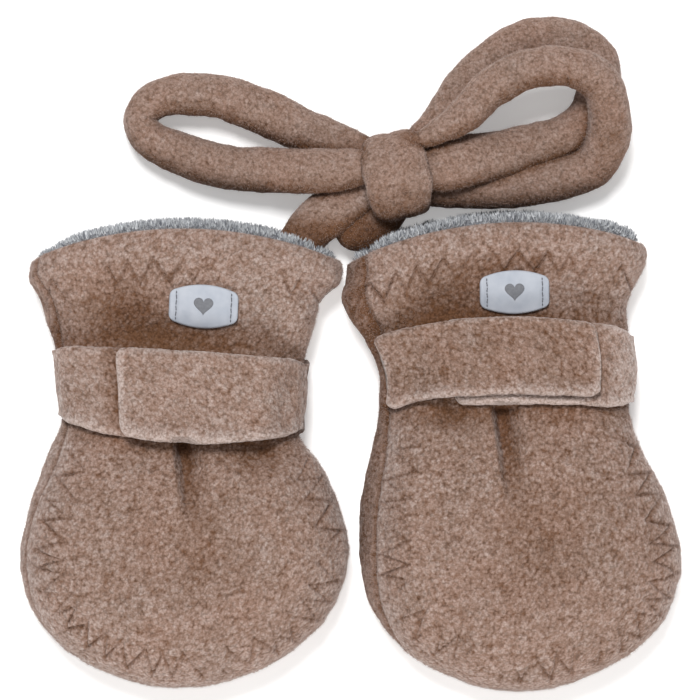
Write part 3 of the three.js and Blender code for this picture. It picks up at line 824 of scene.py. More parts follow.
CORD_LEFT = [  # through the knot, round the left loop and back
    [12, 88.0, 15.4, 5, 6], [3.5, 86.0, 15.8, 10.4, 9.5], [-6, 84.6, 15, 13.2, 12],
    [-18, 84.6, 11.2, 13.4, 12.6], [-31.4, 85.4, 8, 13.2, 12.6], [-41.6, 86.8, 7, 13.2, 12.6],
    [-51.7, 90.4, 6.75, 12.4, 12.6], [-60.2, 94.6, 6.75, 11, 12.4], [-63.2, 100.8, 6.75, 9.9, 12.2],
    [-59.5, 105.5, 6.75, 11, 12.2], [-52.5, 107.9, 6.75, 12.2, 12.4],
    [-47.7, 107.9, 6.75, 12.6, 12.6], [-37.5, 106.9, 6.75, 13, 12.6],
    [-27.4, 103.3, 6.75, 13.4, 12.6], [-20.3, 100.0, 6.75, 13.4, 12.4], [-10.2, 95.4, 7, 13, 12],
    [1.5, 91.8, 8, 10, 10], [9, 89, 8.6, 6.5, 7], [17, 90.4, 8, 6.8, 7.4],
]
CORD_RIGHT = [  # out of the knot, round the high right loop and back
    [22, 94.6, 7, 10, 10.6], [28.9, 100.9, 6.75, 12.8, 12.6], [34.4, 109.2, 6.75, 13.2, 12.6],
    [42.2, 117.1, 6.75, 13.2, 12.6], [50.6, 122.8, 6.75, 13.2, 12.6],
    [58.8, 124.8, 6.75, 13.2, 12.6], [67.4, 123.4, 6.75, 13.2, 12.6],
    [74.2, 118.4, 6.75, 12.6, 12.4], [75.6, 112.4, 6.75, 12, 12.2], [73.8, 107, 6.75, 12, 12.2],
    [72, 102, 6.75, 12, 12.2], [69, 97.9, 6.75, 12.4, 12.4], [64, 95.0, 6.75, 12.8, 12.4],
    [56, 92.6, 7, 13.4, 12.6], [45, 89.4, 10, 14.6, 12.6], [34, 87.2, 13.4, 15.6, 12.2],
    [25.8, 85.6, 14.4, 14.6, 11], [16, 85.5, 11, 7, 7], [10, 85.5, 8, 6, 6], [13, 87, 5, 6, 6],
]
CORD_OUT = [  # from under the knot to the right cuff
    [11.6, 74.4, 5.2, 12.4, 8.6], [6.4, 69.8, 6.4, 14.6, 10.6], [1.0, 66.4, 6.8, 13.6, 9.4],
    [-2.6, 62.6, 7.0, 11, 8],
]
KNOT_CENTRE = (13.9, 83.2, 12.6)
KNOT_AXIS = (0.9816, 0.1908)  # the way along the bound strands
KNOT_REACH = (9.7, 9.1)  # from the middle of the strands to the middle of a turn, out and up
TURN_SPACING = 3.0
TURN_SECTION = (14.0, 6.8)  # width and thickness of the cord in a turn
TURN_NARROWING = 3.2  # how much narrower it is at the sides of the knot
CORD_SIDES, CORD_STEP = 72, 0.56
CORD_END = 5.0  # length of the rounding at each end
SHADED_BELOW = 72.5  # the strands lie deeper from here towards the cuffs, and painted shade darkens them there
FUZZ_THICKNESS = 0.00009


def knot_turns():
    """Two turns round the bound strands, side by side, starting and ending underneath."""
    rows, ups = [], []
    for angle in np.arange(255, -449, -15):
        across = TURN_SPACING * (1 - 2 * ease(np.array(-angle / 180.0)))
        a = math.radians(angle)
        out, high = KNOT_REACH[0] * math.cos(a), KNOT_REACH[1] * math.sin(a)
        rows.append([KNOT_CENTRE[0] + KNOT_AXIS[0] * across - KNOT_AXIS[1] * out,
                     KNOT_CENTRE[1] + KNOT_AXIS[1] * across + KNOT_AXIS[0] * out,
                     KNOT_CENTRE[2] + high,
                     TURN_SECTION[0] - TURN_NARROWING * abs(math.cos(a)) ** 3, TURN_SECTION[1]])
        ups.append([KNOT_AXIS[1] * math.cos(a), -KNOT_AXIS[0] * math.cos(a), -math.sin(a)])
    return rows, ups


def along_route(rows, ups, step):
    """Even stations on a smooth curve through the rows, with the way up at each."""
    table = np.hstack([np.array(rows, float), np.array(ups, float)])
    chord = np.linalg.norm(np.diff(table[:, :3], axis=0), axis=1)
    t = np.concatenate([[0], np.cumsum(np.sqrt(chord))])
    gap, step_on = np.diff(t)[:, None], np.diff(table, axis=0)
    slope = np.empty_like(table)
    slope[1:-1] = step_on[:-1] / gap[:-1] * gap[1:] + step_on[1:] / gap[1:] * gap[:-1]
    slope[1:-1] /= gap[1:] + gap[:-1]
    slope[0], slope[-1] = step_on[0] / gap[0], step_on[-1] / gap[-1]
    fine = np.linspace(0, t[-1], 6000)
    i = np.clip(np.searchsorted(t, fine, side="right") - 1, 0, len(t) - 2)
    h = (t[i + 1] - t[i])[:, None]
    q = ((fine - t[i])[:, None]) / h
    curve = ((2 * q**3 - 3 * q**2 + 1) * table[i] + (q**3 - 2 * q**2 + q) * h * slope[i]
             + (3 * q**2 - 2 * q**3) * table[i + 1] + (q**3 - q**2) * h * slope[i + 1])
    length = length_along(curve[:, :3])
    even = np.linspace(0, length[-1], int(length[-1] / step) + 1)
    stations = np.stack([np.interp(even, length, column) for column in curve.T], 1)
    return stations, length[-1]


# Cord lengths nearer than this along the route don't crowd each other, and how near counts.
APART_ALONG, CROWDED = 16, 1.9


def crowding(points, stations, turned):
    """How closely another length of the cord lies to each point of it, from 0 to 1."""
    near = np.full(points.shape[:2], 99.0)
    others = np.arange(0, len(stations), 3)
    for ring in range(len(points)):
        free = np.abs(others - ring) * CORD_STEP > APART_ALONG
        if turned[ring]:
            free &= ~turned[others]
        centres = stations[others[free]]
        away = np.linalg.norm(points[ring][:, None] - centres[None, :, :3], axis=2)
        near[ring] = (away - (centres[:, 3] + centres[:, 4]) / 4).min(axis=1)
    return falloff(np.maximum(near, 0), CROWDED)


def soft_tube(stations, turned, seed):
    """A fleece tube round the stations, domed at both ends, with its nap and painted shade."""
    centre, width, thick, up = stations[:, :3], stations[:, 3], stations[:, 4], stations[:, 5:8]
    tangent = np.gradient(centre, axis=0)
    tangent /= np.linalg.norm(tangent, axis=1, keepdims=True)
    side = np.cross(tangent, up)
    side /= np.linalg.norm(side, axis=1, keepdims=True)
    up = np.cross(side, tangent)
    from_end = np.minimum(np.arange(len(centre)), np.arange(len(centre))[::-1]) * CORD_STEP
    dome = rounded(from_end + 0.05, CORD_END)
    angle = np.linspace(0, 2 * np.pi, CORD_SIDES, endpoint=False)
    c, s = np.cos(angle), np.sin(angle)
    cx, sx = np.sign(c) * np.abs(c) ** 0.9, np.sign(s) * np.abs(s) ** 0.9
    offset = (side[:, None] * (cx * width[:, None] / 2)[..., None]
              + up[:, None] * (sx * thick[:, None] / 2)[..., None]) * dome[:, None, None]
    points = centre[:, None] + offset
    normal = tube_normals(points, centre[:, None])
    height, nap_and_painted_light = nap(points, seed)
    # Painted shade on the undersides, on the sides facing -y, on the strands towards the cuffs, and where
    # strands crowd each other.
    shaded = 0.07 + 0.12 * np.clip(0.8 - normal[..., 2], 0, 1.2)
    shaded = shaded + 0.5 * np.clip(-0.15 - normal[..., 1], 0, 1)
    shaded = shaded + 0.45 * ease((SHADED_BELOW - points[..., 1]) / 6.0)
    shaded = shaded + 0.4 * crowding(points, stations, turned)
    nap_and_painted_light = soft_floor(0.5 + 0.66 * (nap_and_painted_light - 0.5) - shaded)
    lumps = 0.42 * drift(points, 9, seed + 20) + 0.25 * drift(points, 4.2, seed + 30)
    relief_out = (height * 0.9 + lumps) * np.minimum(1, dome * 1.2)[:, None]
    points = points + normal * relief_out[..., None]
    points[..., 2] = np.maximum(points[..., 2], GROUND)
    return points, nap_and_painted_light, np.clip(normal[..., 2] + 0.5, 0, 1)


def closed_tube(name, points, material, attributes):
    """A mesh round a grid of rings, with a fan of triangles at each end."""
    rings, sides = points.shape[:2]
    at = np.arange(rings * sides).reshape(rings, sides)
    nxt = np.roll(at, -1, axis=1)
    quads = np.stack([at[:-1], nxt[:-1], nxt[1:], at[1:]], -1).reshape(-1, 4)
    first, last = rings * sides, rings * sides + 1
    fans = np.concatenate([
        np.stack([nxt[0], at[0], np.full(sides, first)], -1),
        np.stack([at[-1], nxt[-1], np.full(sides, last)], -1)])
    flat = np.concatenate([points.reshape(-1, 3), points[0].mean(0)[None], points[-1].mean(0)[None]])
    filled = {key: np.concatenate([v.ravel(), [v[0].mean(), v[-1].mean()]])
              for key, v in attributes.items()}
    return mesh_object(name, flat, quads, fans, material, filled)


def make_cord():
    turns, turn_ups = knot_turns()
    rows = CORD_IN + CORD_LEFT + CORD_RIGHT + turns + CORD_OUT
    plain = [[0, 0, 1]]
    ups = plain * (len(rows) - len(turns) - len(CORD_OUT)) + turn_ups + plain * len(CORD_OUT)
    stations, length = along_route(rows, ups, CORD_STEP)
    reach = stations[:, :3] - KNOT_CENTRE
    across = reach[:, 0] * KNOT_AXIS[0] + reach[:, 1] * KNOT_AXIS[1]
    around = np.hypot(reach[:, 1] * KNOT_AXIS[0] - reach[:, 0] * KNOT_AXIS[1], reach[:, 2])
    turned = (np.abs(across) < TURN_SPACING + 0.5) & (around > 8)
    points, nap_and_painted_light, standing = soft_tube(stations, turned, 41)
    piece = closed_tube("joining_cord", points, fleece_look, {"nap": nap_and_painted_light, "standing": standing})
    fuzz = fuzz_on(piece, "joining_cord_fuzz", fuzz_look, 7, density=2.2e6, length=0.0008,
                   thickness=FUZZ_THICKNESS)
    settle(fuzz, "fleece")
    settle(piece, "fleece", "cord_loop_left", "cord_loop_low", "cord_loop_high",
           "cord_tail_left", "cord_tail_right", "cord_knot")


# ---- the cloth of each mitten ----
SEAM_LIFT = 0.04  # half the gap between the two panels at their seam


def lumps_of(points, seed):
    """The soft unevenness of laid cloth."""
    return 0.55 * drift(points, 13, seed + 20) + 0.25 * drift(points, 5.5, seed + 30)


# Painted shade on the nap in dents, cuff, tuck valley, beside the strap, in grooves and at seams,
# and a painted highlight along the hand's seams: a share for each, and for some the reach in mm.
DENT_SHADE, CUFF_SHADE, TUCK_SHADE = 0.1, 0.07, 0.42
ABOVE_STRAP, BELOW_STRAP, EDGE_HIGHLIGHT = (0.24, 2.8), (0.26, 3.4), (0.24, 4.5)
GROOVE_SHADE, SEAM_SHADE = 0.34, 0.32
GROOVE_DEPTH, SEAM_DEPTH, PUCKER_HEIGHT, HEM_DROP = 0.58, 0.6, 0.36, 1.3
MM_ABOVE, MM_BELOW = 6.0, 9.0  # length of a section above and below the strap


def relief(mitten, points, field, section, from_hem, from_seams, seed):
    """How far the finished surface stands off the plain form, and how open its nap is, with painted shade
    and highlight.
    """
    height, nap_and_painted_light = nap(points, seed)
    sewn, sewn_pucker = hand_groove(mitten, field["distance"], field["run"])
    hem, hem_pucker = hem_groove(field["x"], from_hem, seed)
    groove = np.maximum(sewn, hem)
    pucker = np.maximum(sewn_pucker, hem_pucker) - groove
    seam = falloff(from_seams, 0.9)
    calm = 1 - 0.85 * falloff(from_seams, 2.6)
    roll = np.clip(1 - from_hem / 2.4, 0, 1)
    fading = np.clip(0.7 + 0.95 * drift(points, 12, seed + 60), 0.15, 1)
    groove, pucker = groove * fading, pucker * fading
    out = height * (1 - 0.3 * groove) * (1 - 0.7 * roll) + lumps_of(points, seed) * calm
    out += PUCKER_HEIGHT * pucker - GROOVE_DEPTH * groove - SEAM_DEPTH * seam
    out -= HEM_DROP * (1 - np.sqrt(1 - roll**2))
    in_cuff = 1 - ease((section - STRAP_TOP) / 0.5)
    # Painted shade in the dents, more in the cuff, and in the tuck's valley.
    painted_shade = (DENT_SHADE + CUFF_SHADE * in_cuff) * dent_drop(mitten, field["x"], field["y"])
    painted_shade = painted_shade + TUCK_SHADE * tuck_shade(mitten, field["x"], field["y"])
    # The hand darker all over, and more in its middle away from the seams.
    over_all, over_middle = mitten.hand_shade
    painted_shade = painted_shade + over_all * (1 - in_cuff)
    painted_shade = painted_shade + over_middle * (1 - in_cuff) * (1 - falloff(from_seams, 16))
    # Painted shade in the strips just above and below the strap.
    above, below = (STRAP_TOP - section) * MM_ABOVE, (section - STRAP_FOOT) * MM_BELOW
    for away, (share, reach) in ((above, ABOVE_STRAP), (below, BELOW_STRAP)):
        painted_shade = painted_shade + share * falloff(np.maximum(away, 0), reach) * (away > -2)
    # Painted highlight along the seams of the hand.
    painted_edge_light = EDGE_HIGHLIGHT[0] * falloff(from_seams, EDGE_HIGHLIGHT[1]) * (section > STRAP_FOOT)
    # Painted shade in the zigzag grooves and at the seams.
    nap_and_painted_light = nap_and_painted_light + painted_edge_light - GROOVE_SHADE * groove - SEAM_SHADE * seam - painted_shade
    return out, soft_floor(nap_and_painted_light)


def cloth_panel(mitten, name, front, rows_count, columns_count, seed):
    """The front or the back of a mitten, its fuzz, and what its stitching needs to know."""
    rows = even_rows(mitten, 0.0, TIP, rows_count)
    seam = left_seam(mitten, rows)
    low, high = (seam, np.ones_like(rows)) if front else (np.full_like(rows, -3.0), seam)
    places = even_places(mitten, rows, low, high, columns_count)
    outer, field = skin(mitten, places, rows[:, None], 0.0)
    inner, _ = skin(mitten, places[::4, ::4], rows[::4, None], FLEECE)
    lift = np.array([0, 0, SEAM_LIFT if front else -SEAM_LIFT])
    outer, inner = outer + lift, inner + lift
    from_left, from_right, from_hem, from_tip = surface_lengths(outer)
    seams = np.minimum(np.minimum(from_left, from_right), from_tip)
    out, nap_and_painted_light = relief(mitten, outer, field, rows[:, None], from_hem, seams, seed)
    normal = outward(outer, outer - np.array([0, 0, 1.0 if front else -1.0]))
    shaped = outer + normal * out[..., None]
    edge_fuzz = falloff(seams, 7) + 0.35 * falloff(from_hem, 6)
    if not front:
        edge_fuzz = edge_fuzz * (shaped[..., 2] > 2)
        shaped[..., 2] = np.maximum(shaped[..., 2], GROUND)
        inner[..., 2] = np.maximum(inner[..., 2], 1.6)
    points, quads, rim = cloth_shell(shaped, inner)
    hidden = inner.shape[0] * inner.shape[1]
    if not front:
        # Painted shade on the strip of the back along its left side.
        nap_and_painted_light = np.clip(nap_and_painted_light - mitten.left_shade * ease((places + 1.06) / 0.06), 0, 1)
    tone = np.concatenate([nap_and_painted_light.ravel(), np.full(hidden, 0.3)])
    standing = np.concatenate([edge_fuzz.ravel(), np.zeros(hidden)])
    piece = mesh_object(mitten.name + name + "_cloth", points, quads, rim, fleece_look,
                        {"nap": tone, "standing": standing})
    fuzz = fuzz_on(piece, mitten.name + name + "_fuzz", fuzz_look, seed, density=5e6, length=0.0009,
                   thickness=FUZZ_THICKNESS)
    settle(fuzz, "fleece")
    return piece, fuzz, {"outer": outer, "x": field["x"], "from_hem": from_hem}


LINING_FOOT = 3.1  # the section where the modelled lining ends
LINING_COLUMNS = 160
MOUTH_REACH = 6  # how far in from the mouth the lining is teased out


def lining_half(mitten, name, front, seed):
    """One wall of the lining, with pile standing where it looks out of the mouth."""
    table = mitten.sections
    reach = (1.7 if front else 2.6) - (0.5 if mitten.name == "left" else 0.0)
    top = -reach / (table[0, 1] - table[1, 1])
    rows = even_rows(mitten, top, LINING_FOOT, 40)
    low, high = (-1.0, 1.0) if front else (-3.0, -1.0)
    places = even_places(mitten, rows, np.full_like(rows, low), np.full_like(rows, high), LINING_COLUMNS)
    depth = FLEECE + LINING_GAP
    lift = np.array([0, 0, 0.1 if front else -0.1])
    outer, field = skin(mitten, places, rows[:, None], depth)
    inner, _ = skin(mitten, places[::4, ::4], rows[::4, None], depth + PLUSH)
    from_top = surface_lengths(outer)[2]
    outward_way = outward(outer, outer - np.array([0, 0, 1.0 if front else -1.0]))
    fluff = 0.4 * drift(outer, 1.6, seed) - 0.9 * falloff(from_top, 0.8)
    outer = outer + lift + outward_way * (fluff * falloff(from_top, MOUTH_REACH))[..., None]
    inner = inner + lift
    if mitten.name == "right":
        across = np.broadcast_to(np.linspace(-1, 1, LINING_COLUMNS + 1)[None], from_top.shape)
        standing_up = 1.3 * ease((across - 0.5) / 0.25) * (1 - ease((across - 0.9) / 0.1))
        standing_up = standing_up * falloff(from_top, MOUTH_REACH)
        outer[..., 1] += standing_up
        inner[..., 1] += standing_up[::4, ::4]
    outer[..., 2] = np.maximum(outer[..., 2], 2.6)
    inner[..., 2] = np.maximum(inner[..., 2], 4.6)
    points, quads, rim = cloth_shell(outer, inner)
    inner_top = surface_lengths(inner)[2]
    clump = np.clip(0.6 + 1.5 * drift(outer, 2.6, seed + 5), 0.1, 1)
    span = np.broadcast_to(np.linspace(low, high, LINING_COLUMNS + 1)[None], clump.shape)
    open_from = -0.8 if mitten.name == "left" else -0.97
    side_place = span if front else span + 2
    at_corner = falloff(side_place + 0.975, 0.015)
    clump = clump * np.maximum(ease((side_place - open_from) / 0.06), at_corner)
    standing = np.concatenate([(np.exp(-((from_top / 2.6) ** 4)) * clump).ravel(),
                               (np.exp(-((inner_top / 4) ** 4)) * clump[::4, ::4]).ravel()])
    piece = mesh_object(mitten.name + name + "_ground", points, quads, rim, plush_base,
                        {"standing": standing})
    pile = fuzz_on(piece, mitten.name + name + "_pile", plush_look, seed, density=9e6, length=0.0019,
                   thickness=0.0006, lean=(0.0, 1.1, 0.35 if front else 0.5))
    settle(piece, "plush", mitten.name + name)
    settle(pile, "plush")


# ---- the wrist strap ----
def strap_profile(half_width, thickness, count_out=46, count_rim=11, count_in=12):
    """The closed outline across a folded strap: place across (mm) and height over its underside."""
    r = thickness / 2
    flat = half_width - r
    a_out = np.linspace(-flat, flat, count_out)
    turn = np.linspace(np.pi / 2, -np.pi / 2, count_rim + 2)[1:-1]
    a_in = np.linspace(flat, -flat, count_in)
    a = np.concatenate([a_out, flat + r * np.cos(turn), a_in, -flat - r * np.cos(turn[::-1])])
    h = np.concatenate([np.full(count_out, 2 * r), r + r * np.sin(turn), np.zeros(count_in),
                        r + r * np.sin(turn[::-1])])
    return a, h


STRAP_CORNER = 3.4  # radius of a free end's corners
STRAP_STEP = 0.46
RIM_LIGHT = 0.42  # how much painted highlight lies along the strap's edges


def strap_piece(mitten, name, ends, foot, raised, painted_shade_at, tone, end_highlight, seed):
    """A folded fleece strip round the wrist, from its free end, with rounded corners, to its root."""
    start, stop = ends
    w_fine = np.linspace(start, stop, 900)
    middle = (STRAP_TOP + foot) / 2
    line, _ = skin(mitten, w_fine, np.full_like(w_fine, middle), -STRIP_GAP - STRAP / 2)
    run = length_along(line)
    count = int(run[-1] / STRAP_STEP)
    place = np.linspace(0, run[-1], count + 1)
    w = np.interp(place, run, w_fine)
    a, h = strap_profile(STRAP_HALF, STRAP)
    from_free = place
    from_root = run[-1] - place
    free_root = end_highlight > 0 and mitten.flap_side < 0
    if free_root:
        from_free = np.minimum(place, from_root)
    short = STRAP_CORNER - from_free
    narrow = np.where(short > 0, STRAP_CORNER - np.sqrt(np.maximum(0, STRAP_CORNER**2 - short**2)), 0)
    thin = rounded(from_free + 0.02, STRAP / 2)
    at_side = falloff(np.abs(w) - 1, 0.1)[:, None]
    narrow = narrow + (0.6 if free_root else 1.9) * at_side[:, 0]
    across = a[None] * (STRAP_HALF - narrow[:, None]) / STRAP_HALF
    squeezed = 1 - 0.42 * falloff(np.abs(w) - 1, 0.07)[:, None]
    high = (STRAP / 2 + (h[None] - STRAP / 2) * np.maximum(0.03, thin[:, None])) * squeezed
    bulge = 0.45 * falloff(np.abs(across) - 10.2, 1.5) * (h[None] > STRAP * 0.6) * thin[:, None]
    bulge -= 0.35 * (1 - (across / STRAP_HALF) ** 2) * (h[None] > STRAP * 0.9)
    s = middle - across / STRAP_HALF * (foot - STRAP_TOP) / 2
    if free_root:
        s = s + 0.2 * falloff(from_root, 9.0)[:, None] * (STRAP_HALF - across) / (2 * STRAP_HALF)
    high = high * (1 - 0.72 * at_side * (np.abs(across) / STRAP_HALF) ** 2.5)
    lifted = STRIP_GAP * squeezed + raised(w)[:, None] + high + bulge
    points, _ = skin(mitten, np.broadcast_to(w[:, None], s.shape), s, -lifted)
    centre = points.mean(axis=1, keepdims=True)
    normal = tube_normals(points, centre)
    height, nap_and_painted_light = nap(points, seed)
    # Painted highlight along the strap's edges and round a flap's free end; painted shade from
    # painted_shade_at.
    rim = falloff(STRAP_HALF + across, 2.8) + 0.45 * falloff(STRAP_HALF - across, 1.8)
    nose_rim = falloff(from_free, 2.0)[:, None] * end_highlight
    lit = RIM_LIGHT * np.minimum(1, rim + nose_rim)
    nap_and_painted_light = np.clip(nap_and_painted_light + tone + lit - painted_shade_at(w)[:, None], 0, 1)
    out = (height + 0.7 * lumps_of(points, seed)) * thin[:, None]
    out = out * np.where(h[None] > 0.3 * STRAP, 1.0, 0.15)
    points = points + normal * out[..., None]
    points[..., 2] = np.maximum(points[..., 2], GROUND + h[None] * np.ones_like(s))
    return closed_tube(mitten.name + name + "_cloth", points, fleece_look, {"nap": nap_and_painted_light}), run[-1]


def strap_place(mitten, x):
    """The place across the section under the strap's middle line at x from the mitten's axis."""
    row = row_of(mitten, np.array([(STRAP_TOP + STRAP_FOOT) / 2]))
    return float((2 * (x - row["left_x"]) / (row["right_x"] - row["left_x"]) - 1)[0])


def make_straps(mitten, seed):
    """The band round the wrist, and the flap that closes over its end."""
    side = mitten.flap_side
    tab = strap_place(mitten, mitten.tab_end)
    end = strap_place(mitten, mitten.flap_end)
    risen = tab + side * 0.05
    root = 1.03 if side > 0 else -float(left_seam(mitten, np.array([5.0]), 0.6)[0])
    band_end = 3.0 - (0.045 if side > 0 else 0.1)
    band_tone, flap_tone = (-0.02, -0.04) if side > 0 else (0.12, -0.17)
    half = 36.0

    # Painted shade on the band beside the flap's free end.
    def painted_shade(w):
        beyond = (end - w) * side * half
        return 0.34 * falloff(np.maximum(beyond, 0), 3.2) * (beyond > -3)

    band, band_length = strap_piece(mitten, "_strap_band", (tab, -side * band_end), STRAP_FOOT,
                                    lambda w: np.zeros_like(w), painted_shade, band_tone, 0.0, seed)

    def raised(w):
        return (STRAP + STRIP_GAP) * ease(1 - (w - risen) * side / 0.25)

    flap, flap_length = strap_piece(mitten, "_strap_flap", (end, side * root), mitten.flap_foot, raised,
                                    lambda w: np.zeros_like(w), flap_tone, 1.0, seed + 3)
    for piece, node, length in ((band, "_strap_band", band_length), (flap, "_strap_flap", flap_length)):
        settle(piece, "fleece", mitten.name + node)


# ---- the label ----
LABEL_LENGTH, LABEL_HEIGHT, LABEL_END, LABEL_CORNER = 20.6, 13.0, 8.4, 1.5
LABEL_HEM = 2.1  # from an end of the label to its stitches
HEART_SIZE = 3.1


def on_label(mitten, h, v, depth):
    """A point of the label: h and v run from -1 to 1 along and up it."""
    x, y, turn = mitten.label
    from_end = np.minimum(LABEL_CORNER, (1 - np.abs(h)) * LABEL_LENGTH / 2)
    rounding = LABEL_CORNER - np.sqrt(LABEL_CORNER**2 - (LABEL_CORNER - from_end) ** 2)
    half = (LABEL_END + (LABEL_HEIGHT - LABEL_END) * (1 - h**2)) / 2 - rounding
    a, b = h * LABEL_LENGTH / 2, v * half
    c, s = math.cos(math.radians(turn)), math.sin(math.radians(turn))
    u, row = locate(mitten, (x + c * a - s * b).ravel(), (y + s * a + c * b).ravel())
    points, _ = skin(mitten, u, row, np.broadcast_to(depth, np.broadcast(h, v).shape).ravel() - STRIP_GAP)
    return points.reshape(np.broadcast(h, v).shape + (3,))


def label_wave(h, v, seed):
    """How the tape waves between its sewn ends."""
    return 0.22 * drift(np.stack([h * 9, v * 6, h * 0 + seed], -1), 4.0, seed)


def make_label(mitten, seed):
    """The woven label, its stitches and a plain heart."""
    v, h = np.meshgrid(np.linspace(1, -1, 65), np.linspace(-1, 1, 101), indexing="ij")
    edge = np.minimum((1 - np.abs(h)) * LABEL_LENGTH / 2, (1 - np.abs(v)) * LABEL_HEIGHT / 2)
    rise = rounded(edge, 0.7)
    sewn = falloff((np.abs(h) - 1) * LABEL_LENGTH / 2 + LABEL_HEM, 0.7)
    out = 0.3 + 0.5 * rise - 0.28 * sewn + label_wave(h, v, seed) * (1 - sewn)
    outer = on_label(mitten, h, v, -out)
    inner = on_label(mitten, h[::4, ::4], v[::4, ::4], 0.0)
    points, quads, rim = cloth_shell(outer, inner)
    piece = mesh_object(mitten.name + "_label_tape", points, quads, rim, tape_look)
    lines = []
    for end in (-1, 1):
        for k in range(5):
            v_line = np.linspace(-0.76 + 0.33 * k, -0.76 + 0.33 * k + 0.2, 6)
            h_line = np.full(6, end * (1 - LABEL_HEM / (LABEL_LENGTH / 2)) + 0.008 * (k % 2))
            lines.append(on_label(mitten, h_line, v_line, -np.full(6, 0.72)))
    dashes = stitched(mitten.name + "_label_stitches", lines, 0.55, 0.8, 0.36, label_thread)
    angle = np.linspace(0, 2 * np.pi, 64, endpoint=False)
    heart_x = 16 * np.sin(angle) ** 3 / 17
    heart_y = 13 * np.cos(angle) - 5 * np.cos(2 * angle) - 2 * np.cos(3 * angle) - np.cos(4 * angle)
    heart_y = heart_y / 17 + 0.12
    ring = np.linspace(0, 1, 9)[:, None]
    hh = ring * heart_x * HEART_SIZE / (LABEL_LENGTH / 2)
    vv = ring * heart_y * HEART_SIZE / (LABEL_HEIGHT / 2)
    tape_out = 0.8 + label_wave(hh, vv, seed)
    top = on_label(mitten, hh, vv, -(tape_out + 0.05))
    low = on_label(mitten, hh, vv, -(tape_out - 0.1))
    grid = np.concatenate([top[1:], low[:0:-1]])
    motif = closed_tube(mitten.name + "_label_motif", grid, motif_look, {})
    settle(piece, "label_tape", mitten.name + "_label")
    settle(dashes, "label_tape")
    settle(motif, "label_tape")


# ---- stitching ----
SUNK, LINE_STEP = 0.5, 0.35  # how deep the thread lies in the nap, and the fineness of its line


def hand_line(mitten, seed):
    """The zigzag round the hand, sunk into the cloth."""
    _, left, right = hand_share(mitten, np.array([0.0]))
    run = np.arange(left + 5, right - 5, LINE_STEP)
    reach, _, share = zigzag_reach(mitten, run)
    x = np.interp(run, mitten.run, mitten.line[:, 0])
    y = np.interp(run, mitten.run, mitten.line[:, 1])
    tx, ty = np.gradient(x), np.gradient(y)
    size = np.hypot(tx, ty)
    x, y = x - ty / size * reach, y + tx / size * reach
    u, s = locate(mitten, x, y)
    keep = u > left_seam(mitten, s) + 0.02
    base, _ = skin(mitten, u, s, 0.0)
    laid, _ = skin(mitten, u, s, SUNK - lumps_of(base, seed))
    return laid[keep]


def hem_line(panel, seed):
    """The zigzag along the hem, sunk into the cloth."""
    rows = slice(0, 90)
    from_hem, x_field = panel["from_hem"][rows], panel["x"][rows]
    surface = panel["outer"][rows]
    x_low, x_high = x_field[0, 0] + 2, x_field[0, -1] - 2
    hem = []
    for x in np.arange(x_low, x_high, LINE_STEP):
        want = float(hem_reach(np.array([x]), seed)[0])
        cut = np.array([[np.interp(x, x_field[i], surface[i, :, k]) for k in range(3)]
                        + [np.interp(x, x_field[i], from_hem[i])] for i in range(len(x_field))])
        hem.append([np.interp(want, cut[:, 3], cut[:, k]) for k in range(3)])
    hem = np.array(hem)
    hem[:, 2] += lumps_of(hem, seed) - SUNK
    return hem


# ---- the pair ----
MITTENS = [
    Mitten("left", -50.5, LEFT_SECTIONS, (-0.4, 3.0), (3.5, -20.0), LEFT_DENTS,
           label=(7.0, 43.8, -3), flap=(1, -18.0, 21.0, 6.0)),
    Mitten("right", 50.5, RIGHT_SECTIONS, (-6.4, 12.5), (-2.5, -16.0), RIGHT_DENTS,
           label=(-1.6, 48.1, 1), flap=(-1, 22.2, -19.6, 5.8)),
]


FRONT_GRID, BACK_GRID = (344, 248), (176, 176)  # divisions along and across each panel


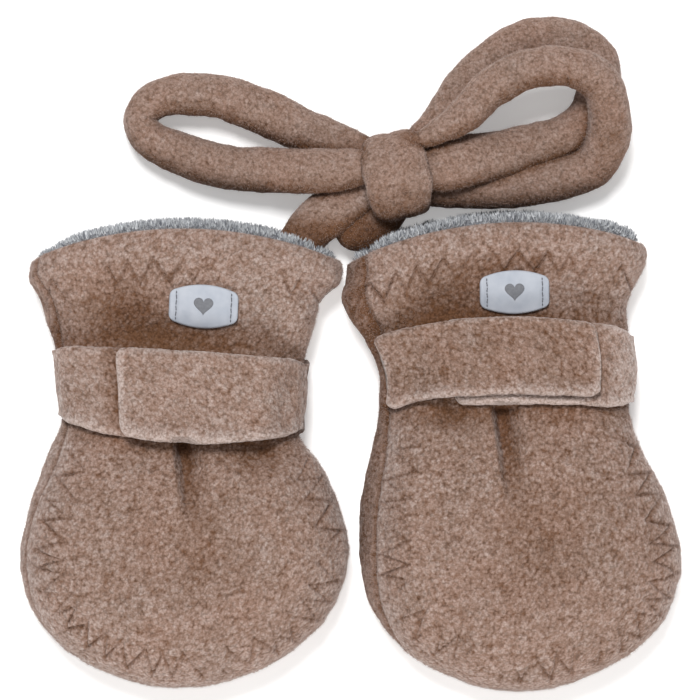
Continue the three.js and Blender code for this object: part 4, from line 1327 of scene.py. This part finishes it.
def make_mitten(mitten, seed):
    front, front_fuzz, shape = cloth_panel(mitten, "_front_panel", True, *FRONT_GRID, seed)
    back, back_fuzz, _ = cloth_panel(mitten, "_back_panel", False, *BACK_GRID, seed + 50)
    lines = [hand_line(mitten, seed), hem_line(shape, seed)]
    stitches = stitched(mitten.name + "_zigzag_stitches", lines,
                        STITCH_PITCH, STITCH_LENGTH, THREAD, seam_thread)
    settle(front, "fleece", mitten.name + "_front_panel")
    settle(back, "fleece", mitten.name + "_back_panel")
    settle(stitches, "fleece")
    lining_half(mitten, "_lining_front", True, seed + 70)
    lining_half(mitten, "_lining_back", False, seed + 80)
    make_straps(mitten, seed + 90)
    make_label(mitten, seed + 100)


make_cord()
for number, mitten in enumerate(MITTENS):
    make_mitten(mitten, 300 + 400 * number)


# ---- table, sky and lamps ----
def lay_table():
    """A pale table top, large enough to show no edge."""
    material, tree, surface = shader("white_table", 0.9)
    mottle = noise_node(tree, object_place(tree), 6, 2)
    tone = ramp_node(tree, mottle, [(0.3, grey(0.88)), (0.7, grey(0.9))])
    paint(tree, surface, tone)
    surface.inputs["Emission Color"].default_value = (1.0, 1.0, 1.0, 1)
    surface.inputs["Emission Strength"].default_value = 0.3
    half, low = 4.0, -0.0002
    mesh = bpy.data.meshes.new("table_top")
    corners = [(-half, -half, low), (half, -half, low), (half, half, low), (-half, half, low)]
    mesh.from_pydata(corners, [], [(0, 1, 2, 3)])
    mesh.materials.append(material)
    plain_object("table_top", mesh)


def hang_lamp(name, place, toward, size, power, color):
    lamp = bpy.data.lights.new(name, "AREA")
    lamp.shape = "DISK"
    lamp.size = size
    lamp.energy = power
    lamp.color = color
    made = plain_object(name, lamp)
    made.location = place
    way = [t - p for t, p in zip(toward, place)]
    made.rotation_euler = Vector(way).to_track_quat("-Z", "Y").to_euler()


lay_table()
world = bpy.data.worlds.new("soft_sky")
world.use_nodes = True
world.node_tree.nodes["Background"].inputs["Color"].default_value = (1.0, 0.99, 0.985, 1)
world.node_tree.nodes["Background"].inputs["Strength"].default_value = 0.39
bpy.context.scene.world = world
hang_lamp("front_softbox", place=(0.2, -1.6, 0.75), toward=(0, 0, 0), size=0.9, power=24,
          color=(1.0, 0.985, 0.965))
hang_lamp("back_softbox", place=(-0.2, 0.9, 1.7), toward=(0, 0.05, 0), size=0.6, power=33,
          color=(1.0, 0.995, 0.99))
bpy.context.scene.view_settings.view_transform = "Standard"
bpy.context.scene.view_settings.look = "None"
